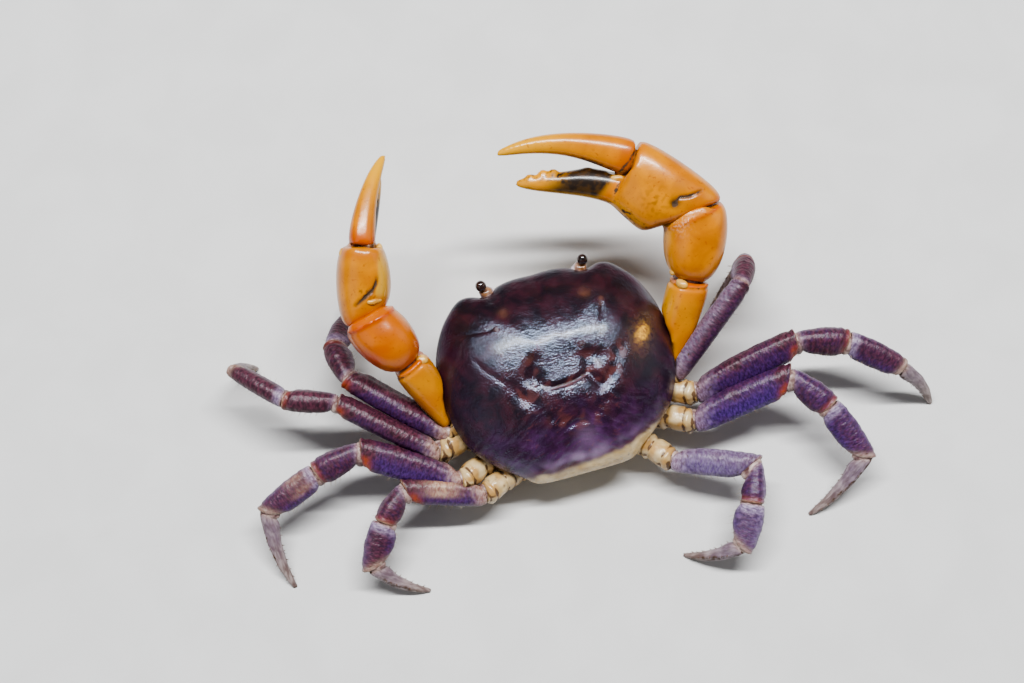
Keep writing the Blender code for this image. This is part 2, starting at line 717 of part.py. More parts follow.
def build_abdomen(model, cutters):
    """The narrow flap folded under the chest."""
    centres = [Vector((0, y, z)) * MM for y, z, _ in ABDOMEN_PATH]
    halves = [half * MM for _, _, half in ABDOMEN_PATH]
    shape = plate_on_path(centres, path_normals(centres), halves, ABDOMEN_THICKNESS)
    flap = new_object("abdomen", shape, "cream", model)
    trim(flap, [underside_shape(GAP)], cutters)


def build_maxillipeds(model, cutters):
    """The two plates that close the mouth."""
    for side_name, side in SIDES.items():
        centres = [Vector((side * x, y, z)) * MM for x, y, z, _ in MAXILLIPED_PATH]
        level = [Vector((0, c.y, c.z)) for c in centres]
        halves = [half * MM for _, _, _, half in MAXILLIPED_PATH]
        shape = plate_on_path(centres, path_normals(level), halves, MAXILLIPED_THICKNESS)
        plate = new_object(f"{side_name}_maxilliped", shape, "cream", model)
        trim(plate, [underside_shape(GAP)], cutters)


def build_eyes(model, cutters):
    """Eyestalks that stand in the hollows, each with its round eye."""
    for side_name, side in SIDES.items():
        root = from_body((side * EYESTALK_ROOT.x, EYESTALK_ROOT.y, EYESTALK_ROOT.z))
        tip = from_body((side * EYESTALK_TIP.x, EYESTALK_TIP.y, EYESTALK_TIP.z))
        stalk = cone_between(root, tip, EYESTALK_RADIUS * 1.35, EYESTALK_RADIUS, LEG_SIDES,
                             f"{side_name}_eyestalk", "cream", model)
        new_object("trim_carapace", carapace_shape(GAP), "dark", cutters)
        shell = cutters.objects[0]
        hollows = bpy.data.collections.new("hollows")
        bpy.context.scene.collection.children.link(hollows)
        orbit_cutters(hollows, GAP)
        apply_boolean(shell, hollows, "DIFFERENCE")
        bpy.data.collections.remove(hollows)
        apply_boolean(stalk, cutters, "DIFFERENCE")

        way = (tip - root).normalized()
        eye = bmesh.new()
        bmesh.ops.create_uvsphere(eye, u_segments=16, v_segments=10, radius=EYE_RADIUS)
        eye.transform(Matrix.Translation(tip + way * (EYE_RADIUS * 0.75)))
        bmesh.ops.bisect_plane(eye, geom=eye.verts[:] + eye.edges[:] + eye.faces[:],
                               plane_co=tip + way * GAP, plane_no=-way, clear_outer=True)
        bmesh.ops.holes_fill(eye, edges=[edge for edge in eye.edges if edge.is_boundary])
        new_object(f"{side_name}_eye", eye, "dark", model)


def centre_model(model):
    """Parent all to an empty that puts the box's middle over the origin."""
    bpy.context.view_layer.update()
    corners = [thing.matrix_world @ vertex.co
               for thing in model.objects for vertex in thing.data.vertices]
    middle = [(min(c[i] for c in corners) + max(c[i] for c in corners)) / 2 for i in (0, 1)]
    stand = bpy.data.objects.new("crab_place", None)
    bpy.context.scene.collection.objects.link(stand)
    for thing in model.objects:
        thing.parent = stand
    stand.location = (-middle[0], -middle[1], 0)


def main():
    clear_scene()
    model = bpy.data.collections.new("land_crab")
    cutters = bpy.data.collections.new("cutters")
    joined = bpy.data.collections.new("joined")
    for collection in (model, cutters, joined):
        bpy.context.scene.collection.children.link(collection)
    build_carapace(model, cutters)
    build_underside(model, joined)
    build_abdomen(model, cutters)
    build_maxillipeds(model, cutters)
    build_eyes(model, cutters)
    for side_name in SIDES:
        build_claw(side_name, model, cutters, joined)
        for pair in range(len(LEG_LENGTHS)):
            build_leg(side_name, pair, model, cutters)
    centre_model(model)


main()
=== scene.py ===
# %% [markdown]
# # A small land crab, dressed for the museum case
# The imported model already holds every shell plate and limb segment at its
# real size and place. This script leaves those solids where they are and
# models the finer skin that goes over each of them: a domed back shell with
# its grooves, ridged legs with soft cream joints, and two glossy claws.
# It is written in steps. Each step first says what the real thing is like,
# then builds it and prints what it made.

import math

import bpy
import numpy as np
from mathutils import Matrix, Vector, noise
from mathutils.bvhtree import BVHTree
from mathutils.kdtree import KDTree
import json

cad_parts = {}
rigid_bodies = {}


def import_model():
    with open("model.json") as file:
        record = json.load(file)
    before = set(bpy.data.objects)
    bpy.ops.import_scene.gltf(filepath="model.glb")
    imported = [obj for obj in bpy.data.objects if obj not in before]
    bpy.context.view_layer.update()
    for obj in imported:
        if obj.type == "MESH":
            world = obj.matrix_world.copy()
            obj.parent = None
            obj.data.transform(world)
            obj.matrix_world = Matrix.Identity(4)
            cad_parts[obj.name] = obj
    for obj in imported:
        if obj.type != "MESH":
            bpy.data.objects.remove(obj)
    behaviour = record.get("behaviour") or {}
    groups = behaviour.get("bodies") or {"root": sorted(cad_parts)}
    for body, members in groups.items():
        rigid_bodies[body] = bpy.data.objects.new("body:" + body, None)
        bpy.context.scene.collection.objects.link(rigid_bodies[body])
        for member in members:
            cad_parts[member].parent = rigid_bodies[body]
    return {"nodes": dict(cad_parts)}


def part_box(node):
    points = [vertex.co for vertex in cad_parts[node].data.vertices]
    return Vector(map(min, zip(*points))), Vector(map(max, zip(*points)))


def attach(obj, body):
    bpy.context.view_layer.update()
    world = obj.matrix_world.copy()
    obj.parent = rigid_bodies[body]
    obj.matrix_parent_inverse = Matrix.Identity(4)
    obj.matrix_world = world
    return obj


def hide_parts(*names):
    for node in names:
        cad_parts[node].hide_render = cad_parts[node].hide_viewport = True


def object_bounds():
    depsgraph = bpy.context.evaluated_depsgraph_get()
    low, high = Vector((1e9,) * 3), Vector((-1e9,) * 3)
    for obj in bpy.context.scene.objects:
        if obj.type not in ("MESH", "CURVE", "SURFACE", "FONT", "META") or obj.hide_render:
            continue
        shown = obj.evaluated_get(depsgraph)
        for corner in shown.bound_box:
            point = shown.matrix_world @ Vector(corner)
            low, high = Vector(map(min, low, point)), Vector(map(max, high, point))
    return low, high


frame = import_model()
CAD_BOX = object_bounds()
NODES = frame["nodes"]
MM = 0.001
print("nodes", len(NODES), "box in mm", [round((b - a) / MM, 1) for a, b in zip(*CAD_BOX)])

# %% [markdown]
# ## Where the body stands
# The crab's body is a flat dome, tipped nose up. Grooves, spots and plates
# are easiest to place in the body's own level frame, in millimetres: x to its
# right, y forwards, z up from the widest line of the shell. The tip is a known
# angle, and the rest is read from the carapace solid.

# %% The body's own frame
BODY_PITCH = math.radians(10)
CARAPACE_REAR = 16.2
CARAPACE_FLOOR = 2.6
LEVEL = np.array(Matrix.Rotation(-BODY_PITCH, 3, "X"))


def points(piece, what="co"):
    """Rows of x, y, z, one for each vertex of a piece: its place in metres, or its normal."""
    flat = np.empty(len(piece.data.vertices) * 3)
    piece.data.vertices.foreach_get(what, flat)
    return flat.reshape(-1, 3)


carapace_level = points(NODES["carapace"]) @ LEVEL.T / MM
BODY_ORIGIN = np.array([
    (carapace_level[:, 0].min() + carapace_level[:, 0].max()) / 2,
    carapace_level[:, 1].min() + CARAPACE_REAR,
    carapace_level[:, 2].min() + CARAPACE_FLOOR,
])


def to_body(where):
    """Turn points in metres into the level body's millimetres."""
    return np.asarray(where) @ LEVEL.T / MM - BODY_ORIGIN


def from_body(where):
    """Turn the level body's millimetres into points in metres."""
    return (np.asarray(where) + BODY_ORIGIN) @ LEVEL * MM


print("body origin in mm", from_body((0, 0, 0)) / MM)

# %% [markdown]
# ## Small helpers for modelling by operator
# Blender's operators act on whatever is selected, so each helper first
# selects just one object. Modifiers are applied at once, so that every piece
# ends as a plain mesh whose object sits at the origin.

# %% Selecting, editing and applying


def only(piece):
    """Select one object and make it the active one."""
    bpy.ops.object.select_all(action="DESELECT")
    piece.select_set(True)
    bpy.context.view_layer.objects.active = piece


def set_points(piece, where):
    """Move all vertices of a piece."""
    piece.data.vertices.foreach_set("co", np.asarray(where, dtype=float).ravel())
    piece.data.update()


def normals(piece):
    """Outward unit normals at the vertices."""
    return points(piece, "normal")


def apply_modifiers(piece):
    """Apply every modifier of a piece, in order."""
    only(piece)
    for modifier in list(piece.modifiers):
        bpy.ops.object.modifier_apply(modifier=modifier.name)


def apply_place(piece):
    """Put the object's place, turn and scale into its mesh."""
    only(piece)
    bpy.ops.object.transform_apply(location=True, rotation=True, scale=True)


def join(pieces, name):
    """Join pieces into the first of them."""
    only(pieces[0])
    for piece in pieces:
        piece.select_set(True)
    bpy.ops.object.join()
    pieces[0].name = name
    return pieces[0]


# Edges sharper than this stay sharp
SHARP = math.radians(50)


def paint(piece, name, values):
    """Keep one number for each vertex, for the material to read."""
    shown = np.zeros(len(piece.data.vertices)) + np.clip(values, 0, 1)
    attribute = piece.data.attributes.new(name, "FLOAT", "POINT")
    attribute.data.foreach_set("value", shown.astype(np.float32))


def push_out(piece, amount):
    """Move the skin out along its normals, by an amount in millimetres."""
    set_points(piece, points(piece) + normals(piece) * (amount * MM)[:, None])


def finish(piece, material, slot, *nodes):
    """Keep a piece inside the solids' box, give it its material and body, and hide its solids. The slot is
    not used.
    """
    if nodes:
        only(piece)
        bpy.ops.object.shade_smooth_by_angle(angle=SHARP)
    set_points(piece, np.clip(points(piece), *CAD_BOX))
    piece.data.materials.clear()
    piece.data.materials.append(material)
    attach(piece, "root")
    if nodes:
        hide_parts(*nodes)


# %% [markdown]
# ## Turning a faceted solid into a shell
# The solids have flat facets, because they are there for size and contact.
# A skin grown over one of them is a copy whose doubles are merged, rounded by
# Subdivision Surface, made even by a voxel Remesh and relaxed by Smooth. The
# rounding pulls it in a little, and a Displace modifier lets it out again.
# A leg segment is cut square at its joints, so it goes without the rounding.

# %% The shell recipe
SWELL = 0.08 * MM


def shell(node, name, voxel, relax, rounding=2, swell=SWELL):
    """Grow a smooth, even skin over one solid."""
    piece = bpy.data.objects.new(name, NODES[node].data.copy())
    bpy.context.scene.collection.objects.link(piece)
    only(piece)
    bpy.ops.object.mode_set(mode="EDIT")
    bpy.ops.mesh.select_all(action="SELECT")
    bpy.ops.mesh.remove_doubles(threshold=0.01 * MM)
    bpy.ops.mesh.tris_convert_to_quads()
    bpy.ops.object.mode_set(mode="OBJECT")
    if rounding:
        smoother = piece.modifiers.new("Rounding", "SUBSURF")
        smoother.levels = smoother.render_levels = rounding
    remesh = piece.modifiers.new("Even faces", "REMESH")
    remesh.mode = "VOXEL"
    remesh.voxel_size = voxel
    let_out = piece.modifiers.new("Let out", "DISPLACE")
    let_out.mid_level = 0
    let_out.strength = swell
    relaxing = piece.modifiers.new("Relax", "SMOOTH")
    relaxing.iterations = relax
    apply_modifiers(piece)
    return piece


# %% [markdown]
# ## Joints between segments
# Two segments face each other across a narrow gap. The vertices of one that
# lie close to the other give the joint's middle, its plane and its size, so
# nothing has to be measured twice.

# %% Find a joint
FACING = 0.75 * MM


def joint_between(first, second):
    """Middle, direction and half sizes of the faces that two solids turn to each other."""
    near = []
    for one, other in ((first, second), (second, first)):
        there = points(NODES[other])
        tree = KDTree(len(there))
        for index, where in enumerate(there):
            tree.insert(where, index)
        tree.balance()
        near += [where for where in points(NODES[one]) if tree.find(where)[2] < FACING]
    near = np.array(near)
    centre = near.mean(axis=0)
    _, axes = np.linalg.eigh(np.cov((near - centre).T))
    spread = (near - centre) @ axes
    low, high = spread.min(axis=0), spread.max(axis=0)
    return centre + axes @ ((low + high) / 2), axes, (high - low) / 2


SIDES = ("right", "left")
LEGS = [f"{side}_leg{pair}" for pair in (1, 2, 3, 4) for side in SIDES]
SEGMENTS = ("base", "merus", "carpus", "propodus", "dactyl")
CLAW_CHAIN = ("base", "merus", "carpus", "palm", "finger")
CHAINS = {**{leg: SEGMENTS for leg in LEGS}, **{f"{side}_claw": CLAW_CHAIN for side in SIDES}}
JOINTS = {}
for limb, chain in CHAINS.items():
    for near_part, far_part in zip(chain, chain[1:]):
        JOINTS[f"{limb}_{far_part}"] = joint_between(f"{limb}_{near_part}", f"{limb}_{far_part}")
for name, (middle, _, half) in JOINTS.items():
    print(name, np.round(middle / MM, 1), "half sizes", np.round(half / MM, 2))

# %% [markdown]
# ## Node groups for the shell's colour and skin
# Crab shell is never one flat colour. Three effects come back on every
# plate: a mottle of two colours, brown dirt that gathers in hollows, and a
# fine leathery relief. Each is a node group, built once and placed in each
# material with its own values. The groups put out only colours and normals.

# %% Start a group and the mottle


def start_group(name, inputs, outputs):
    """Make a node group with named sockets and return its tree and ends."""
    tree = bpy.data.node_groups.new(name, "ShaderNodeTree")
    for label, kind, value in inputs:
        socket = tree.interface.new_socket(label, in_out="INPUT", socket_type=kind)
        if value is not None:
            socket.default_value = value
    for label, kind in outputs:
        tree.interface.new_socket(label, in_out="OUTPUT", socket_type=kind)
    return tree, tree.nodes.new("NodeGroupInput"), tree.nodes.new("NodeGroupOutput")


def add(tree, kind, links=(), **settings):
    """Add a node, set its properties, and link or set its inputs."""
    node = tree.nodes.new(kind)
    for key, value in settings.items():
        setattr(node, key, value)
    for socket, value in dict(links).items():
        if isinstance(value, bpy.types.NodeSocket):
            tree.links.new(value, node.inputs[socket])
        else:
            node.inputs[socket].default_value = value
    return node


def blend(tree, factor, first, second):
    """Mix two colours and return the mixed colour's socket."""
    return add(tree, "ShaderNodeMix", {0: factor, 6: first, 7: second}, data_type="RGBA").outputs[2]


COLOUR, NUMBER, ARROW = "NodeSocketColor", "NodeSocketFloat", "NodeSocketVector"
mottle, ends_in, ends_out = start_group(
    "shell mottle",
    [("Vector", ARROW, None), ("Scale", NUMBER, 700), ("Detail", NUMBER, 4), ("Low", NUMBER, 0.4),
     ("High", NUMBER, 0.6), ("Color 1", COLOUR, None), ("Color 2", COLOUR, None)],
    [("Color", COLOUR), ("Mask", NUMBER)])
cloud = add(mottle, "ShaderNodeTexNoise", {
    "Vector": ends_in.outputs["Vector"], "Scale": ends_in.outputs["Scale"],
    "Detail": ends_in.outputs["Detail"], "Distortion": 0.4})
ramp = add(mottle, "ShaderNodeMapRange", {
    "Value": cloud.outputs["Fac"], "From Min": ends_in.outputs["Low"],
    "From Max": ends_in.outputs["High"]}, interpolation_type="SMOOTHSTEP")
mixed = blend(mottle, ramp.outputs["Result"], ends_in.outputs["Color 1"], ends_in.outputs["Color 2"])
mottle.links.new(mixed, ends_out.inputs["Color"])
mottle.links.new(ramp.outputs["Result"], ends_out.inputs["Mask"])
print("group", mottle.name, len(mottle.nodes), "nodes")

# %% Dirt in the hollows
grime, ends_in, ends_out = start_group(
    "shell grime",
    [("Color", COLOUR, None), ("Dirt", NUMBER, 0), ("Dirt Color", COLOUR, (0.06, 0.03, 0.012, 1)),
     ("Scale", NUMBER, 1500), ("Rough", NUMBER, 0.3)],
    [("Color", COLOUR), ("Roughness", NUMBER)])
place = add(grime, "ShaderNodeTexCoord")
specks = add(grime, "ShaderNodeTexNoise", {
    "Vector": place.outputs["Object"], "Scale": ends_in.outputs["Scale"], "Detail": 6})
reach = add(grime, "ShaderNodeMath", {0: specks.outputs["Fac"], 1: ends_in.outputs["Dirt"]}, operation="ADD")
caught = add(grime, "ShaderNodeMapRange", {
    "Value": reach.outputs[0], "From Min": 0.85, "From Max": 1.15}, interpolation_type="SMOOTHSTEP")
dirty = blend(grime, caught.outputs["Result"], ends_in.outputs["Color"], ends_in.outputs["Dirt Color"])
dull = add(grime, "ShaderNodeMapRange", {
    "Value": caught.outputs["Result"], "To Min": ends_in.outputs["Rough"], "To Max": 0.8})
grime.links.new(dirty, ends_out.inputs["Color"])
grime.links.new(dull.outputs["Result"], ends_out.inputs["Roughness"])
print("group", grime.name, len(grime.nodes), "nodes")

# %% The fine relief
relief, ends_in, ends_out = start_group(
    "shell relief",
    [("Vector", ARROW, None), ("Wrinkle Scale", NUMBER, 900), ("Grain Scale", NUMBER, 4000),
     ("Wrinkles", NUMBER, 0.3), ("Grain", NUMBER, 0.1)],
    [("Normal", ARROW)])
place = add(relief, "ShaderNodeTexCoord")
folds = add(relief, "ShaderNodeTexNoise", {
    "Vector": ends_in.outputs["Vector"], "Scale": ends_in.outputs["Wrinkle Scale"], "Detail": 3})
pits = add(relief, "ShaderNodeTexVoronoi", {
    "Vector": place.outputs["Object"], "Scale": ends_in.outputs["Grain Scale"]})
grain = add(relief, "ShaderNodeBump", {
    "Height": pits.outputs["Distance"], "Strength": ends_in.outputs["Grain"], "Distance": 0.05 * MM})
wrinkled = add(relief, "ShaderNodeBump", {
    "Height": folds.outputs["Fac"], "Strength": ends_in.outputs["Wrinkles"],
    "Distance": 0.25 * MM, "Normal": grain.outputs["Normal"]})
relief.links.new(wrinkled.outputs["Normal"], ends_out.inputs["Normal"])
print("group", relief.name, len(relief.nodes), "nodes")

# %% [markdown]
# ## Laying up a finish
# A finish is laid up in layers over a first one that covers everything. Each
# is one colour or clouds of two. Masks painted on the mesh say where a plate
# is pale, red or dirty, and an Attribute node brings each one in. Last come
# the dirt and the relief that all shells share.

# %% Material helpers


def use(tree, group, **values):
    """Place a node group and set or link its inputs."""
    links = {label.replace("_", " "): value for label, value in values.items()}
    return add(tree, "ShaderNodeGroup", links, node_tree=group)


def share_of(tree, mark):
    """The mask painted on the mesh under a name, or a number as it is."""
    if isinstance(mark, str):
        return add(tree, "ShaderNodeAttribute", attribute_name=mark).outputs["Fac"]
    return mark


def colour_of(tree, where, colours):
    """One colour, or clouds of two, given as scale, detail, dark, light and perhaps low, high."""
    if len(colours) == 3:
        return (*colours, 1.0)
    scale, detail, dark, light, low, high = (*colours, 0.3, 0.7)[:6]
    return use(tree, mottle, Vector=where, Scale=scale, Detail=detail, Low=low, High=high,
               Color_1=(*dark, 1.0), Color_2=(*light, 1.0)).outputs["Color"]


def start_finish(name, coat=0.0, coat_roughness=0.1, specular=0.5):
    """Start a material and return it with its tree and shader."""
    material = bpy.data.materials.new(name)
    material.use_nodes = True
    tree = material.node_tree
    shader = tree.nodes["Principled BSDF"]
    shader.inputs["Coat Weight"].default_value = coat
    shader.inputs["Coat Roughness"].default_value = coat_roughness
    shader.inputs["Specular IOR Level"].default_value = specular
    return material, tree, shader


def lay_up(name, first, layers=(), dirt="dirt", rough=0.3, wrinkles=0.0, grain=0.1, scale=1500,
           shine=(0.0, 0.1, 0.5), vector=None, **dirt_settings):
    """Make a finish. Each layer is a mask, its colours and, if specks break it up, their
    scale, low and high. The shine is coat, coat roughness and specular."""
    material, tree, shader = start_finish(name, *shine)
    where = vector(tree) if vector else add(tree, "ShaderNodeTexCoord").outputs["Object"]
    colour = colour_of(tree, where, first)
    for mark, colours, *specks in layers:
        share = share_of(tree, mark)
        for size, low, high in specks:
            broken = use(tree, mottle, Vector=where, Scale=size, Detail=2, Low=low, High=high)
            share = add(tree, "ShaderNodeMath", {0: broken.outputs["Mask"], 1: share},
                        operation="MULTIPLY").outputs[0]
        colour = blend(tree, share, colour, colour_of(tree, where, colours))
    soiled = use(tree, grime, Color=colour, Dirt=share_of(tree, dirt), Rough=rough, **dirt_settings)
    skin = use(tree, relief, Vector=where, Wrinkle_Scale=scale, Wrinkles=wrinkles, Grain=grain)
    tree.links.new(soiled.outputs["Color"], shader.inputs["Base Color"])
    tree.links.new(soiled.outputs["Roughness"], shader.inputs["Roughness"])
    tree.links.new(skin.outputs["Normal"], shader.inputs["Normal"])
    print("finish", name, "has", 1 + len(layers), "layers")
    return material


# %% [markdown]
# ## The finish of the walking legs
# The legs change colour slowly: maroon above, violet blue towards the rear,
# pinkish cream at the roots, with a fine grain over all of it. The pattern
# reads "lie", the place along and across the segment in millimetres, so that
# the grain can be drawn out across the segment, as the real wrinkles are.

# %% Violet leg shell


def along_segment(tree):
    """The place in the segment, drawn out across it."""
    lie = add(tree, "ShaderNodeAttribute", attribute_name="lie").outputs["Vector"]
    return add(tree, "ShaderNodeMapping", {"Vector": lie, "Scale": (1.0, 0.5, 0.5)}).outputs["Vector"]


leg_finish = lay_up(
    "violet leg shell", (3.4, 6, (0.022, 0.008, 0.062), (0.088, 0.036, 0.190), 0.32, 0.72), [
        ("warm", (3.0, 6, (0.030, 0.008, 0.016), (0.108, 0.028, 0.048), 0.32, 0.72)),
        # Lilac, for the pale shell and for the painted highlight along the top of each segment
        ("pale", (3.2, 6, (0.15, 0.10, 0.18), (0.38, 0.31, 0.43))),
        ("cream", (3.2, 5, (0.42, 0.20, 0.11), (0.66, 0.47, 0.30))),
        ("horn", (2.0, 5, (0.13, 0.085, 0.075), (0.36, 0.29, 0.27))),
        ("red", (0.34, 0.060, 0.016)),
    ], rough=0.42, wrinkles=0.5, grain=0.3, scale=2.6, shine=(0.06, 0.35, 0.38), vector=along_segment)

# %% [markdown]
# ## Limb segments
# Each segment is a shell over its solid. A real one is narrow where it enters
# the joint and ends in a raised collar, so the skin is moved in and out by its
# distance from the two joints. The same distances paint its colours.

# %% Measure a segment from its joints


def step_up(values, low, high):
    """Rise smoothly from 0 at low to 1 at high."""
    share = np.clip((np.asarray(values) - low) / (high - low), 0, 1)
    return share * share * (3 - 2 * share)


def hump(values, centre, width):
    """A smooth hump of height 1."""
    return np.exp(-((np.asarray(values) - centre) / width) ** 2)


def cloudy(where, scale, seed=0.0):
    """Soft noise between 0 and 1 at each point, for points in millimetres."""
    shift = Vector((seed, 2 * seed, 3 * seed))
    return np.array([0.5 + 0.5 * noise.noise(Vector(p) * scale + shift) for p in where])


def patches(where, scale, seed, low, high):
    """Soft-edged patches where the noise rises from low to high."""
    return step_up(cloudy(where, scale, seed), low, high)


def unit(way):
    """A direction, 1 long."""
    return way / np.linalg.norm(way)


def spot(where, middle, radius):
    """A round, soft spot of height 1."""
    return hump(np.linalg.norm(where - middle, axis=1), 0.0, radius)


def segment_frame(start, end):
    """Three directions: along the segment, forwards and up."""
    along = unit(end - start)
    up = unit(np.array((0, 0, 1.0)) - along * along[2])
    return np.array([along, np.cross(up, along), up])


def furthest(node, start):
    """The point of a solid that is furthest from its root, where a limb ends."""
    there = points(NODES[node])
    reach = np.linalg.norm(there - start, axis=1)
    return there[reach > reach.max() - 0.6 * MM].mean(axis=0)


def span(limb, part):
    """Where a segment starts and ends."""
    chain = CHAINS[limb]
    start = JOINTS[f"{limb}_{part}"][0]
    if part == chain[-1]:
        return start, furthest(f"{limb}_{part}", start)
    return start, JOINTS[f"{limb}_{chain[chain.index(part) + 1]}"][0]


def lay_out(piece, start, end):
    """Each vertex's place in the segment, and the segment's length, in millimetres."""
    place = (points(piece) - start) @ segment_frame(start, end).T / MM
    return place, np.linalg.norm(end - start) / MM


def from_joint(piece, joint):
    """How far each vertex lies behind a joint's plane, in millimetres, positive inside the piece."""
    middle, axes, _ = JOINTS[joint]
    away = (points(piece) - middle) @ axes[:, 0] / MM
    return away if away.mean() > 0 else -away


def bend_inward(limb, part):
    """Direction from a joint's middle to the inner side of its bend."""
    chain = CHAINS[limb]
    joint, axes, _ = JOINTS[f"{limb}_{part}"]
    index = chain.index(part)
    root = JOINTS[f"{limb}_{chain[index - 1]}"][0] if index > 1 else furthest(f"{limb}_base", joint)
    inward = unit(span(limb, part)[1] - joint) - unit(joint - root)
    inward = inward - axes[:, 0] * (inward @ axes[:, 0])
    # A straight joint has no inner side, and stays without a direction
    return inward / (np.linalg.norm(inward) + 1e-9)


def inner_side(piece, limb, part):
    """From 0 outside a joint's bend to 1 inside it."""
    middle, _, half = JOINTS[f"{limb}_{part}"]
    return step_up((points(piece) - middle) @ bend_inward(limb, part) / half[1:].mean(), -0.1, 0.9)


def pinch(piece, start, end, share):
    """Move the skin away from the segment's line by a share of its distance, or towards it."""
    where = points(piece)
    along = unit(end - start)
    foot = start + np.outer((where - start) @ along, along)
    set_points(piece, where + (where - foot) * np.reshape(share, (-1, 1)))


start, end = span("right_leg2", "merus")
print("a merus is", round(np.linalg.norm(end - start) / MM, 1), "mm long")

# %% Shape one segment of a walking leg
LEG_VOXEL = 0.19 * MM
LEG_RELAX = 9
# How deep the notch inside a bend, the neck at the root, the ridges, the collar at the
# end, the folds and the flutes are, as shares of the segment's radius
NOTCH = 0.22
NECK = {"merus": 0.03, "carpus": 0.10, "propodus": 0.03, "dactyl": 0.05}
RIDGE = {"merus": 0.06, "carpus": 0.06, "propodus": 0.05, "dactyl": 0.0}
COLLAR, FOLDS, FLUTES = 0.05, 0.07, 0.10
# The grain of a last segment runs along it, that of the others across
LENGTHWISE = (0.3, 1.8, 1.8)


def hand(limb):
    """1 for a right limb and -1 for a left one."""
    return 1 if limb.startswith("right") else -1


def leg_segment(leg, part):
    """Build and paint one violet segment of a leg."""
    node, side, last = f"{leg}_{part}", hand(leg), part == SEGMENTS[-1]
    start, end = span(leg, part)
    piece = shell(node, f"{node}_shell", LEG_VOXEL, LEG_RELAX, rounding=0)
    place, length = lay_out(piece, start, end)
    lie = piece.data.attributes.new("lie", "FLOAT_VECTOR", "POINT")
    lie.data.foreach_set("vector", (place * (LENGTHWISE if last else 1)).astype(np.float32).ravel())
    root, tip = from_joint(piece, node), length - place[:, 0]
    bends = [(root, inner_side(piece, leg, part))]
    if not last:
        following = SEGMENTS[SEGMENTS.index(part) + 1]
        tip = from_joint(piece, f"{leg}_{following}")
        bends.append((tip, inner_side(piece, leg, following)))
    across = np.hypot(place[:, 1], place[:, 2]) + 0.001
    forward, high = side * place[:, 1] / across, place[:, 2] / across
    ridge = hump(high, 1.0, 0.25) + 0.7 * hump(forward, -1.0, 0.2) + 0.7 * hump(forward, 1.0, 0.2)
    swell = RIDGE[part] * (ridge - 0.4) * step_up(root, 0.8, 2.0) * step_up(tip, 0.8, 2.0)
    swell -= NECK[part] * hump(root, 0.0, 0.7)
    swell -= sum(NOTCH * inside * hump(gap, 0.0, 0.8) for gap, inside in bends)
    if last:
        flute = hump(high, 0.55, 0.16) + hump(high, -0.1, 0.16)
        swell -= FLUTES * flute * step_up(root, 0.8, 2.4) * step_up(tip, 0.6, 3.0)
    else:
        folds = cloudy(place * (1.0, 0.4, 0.4), 1.9, seed=len(leg) + ord(leg[-1])) - 0.5
        swell += COLLAR * (hump(tip, 0.3, 0.25) - hump(tip, 0.95, 0.25)) + FOLDS * folds
    pinch(piece, start, end, swell)
    paint_segment(piece, leg, part, place, length, root, tip, forward, high)
    finish(piece, leg_finish, "leg_shell", node)


# %% Paint a segment, and build them all
# Legs whose merus has no orange corner at its end
PLAIN_CORNERS = ("right_leg1", "right_leg4")
# How maroon and how pale each leg is, from the photograph
# The paleness also brightens the painted highlight along the top of each segment
TINTS = {
    "right_leg1": (0.8, 0.6), "right_leg2": (0.35, 0.0), "right_leg3": (0.0, 0.0), "right_leg4": (0.0, 0.75),
    "left_leg1": (0.6, 0.0), "left_leg2": (0.8, 0.0), "left_leg3": (0.3, 0.0), "left_leg4": (0.45, 0.0),
}


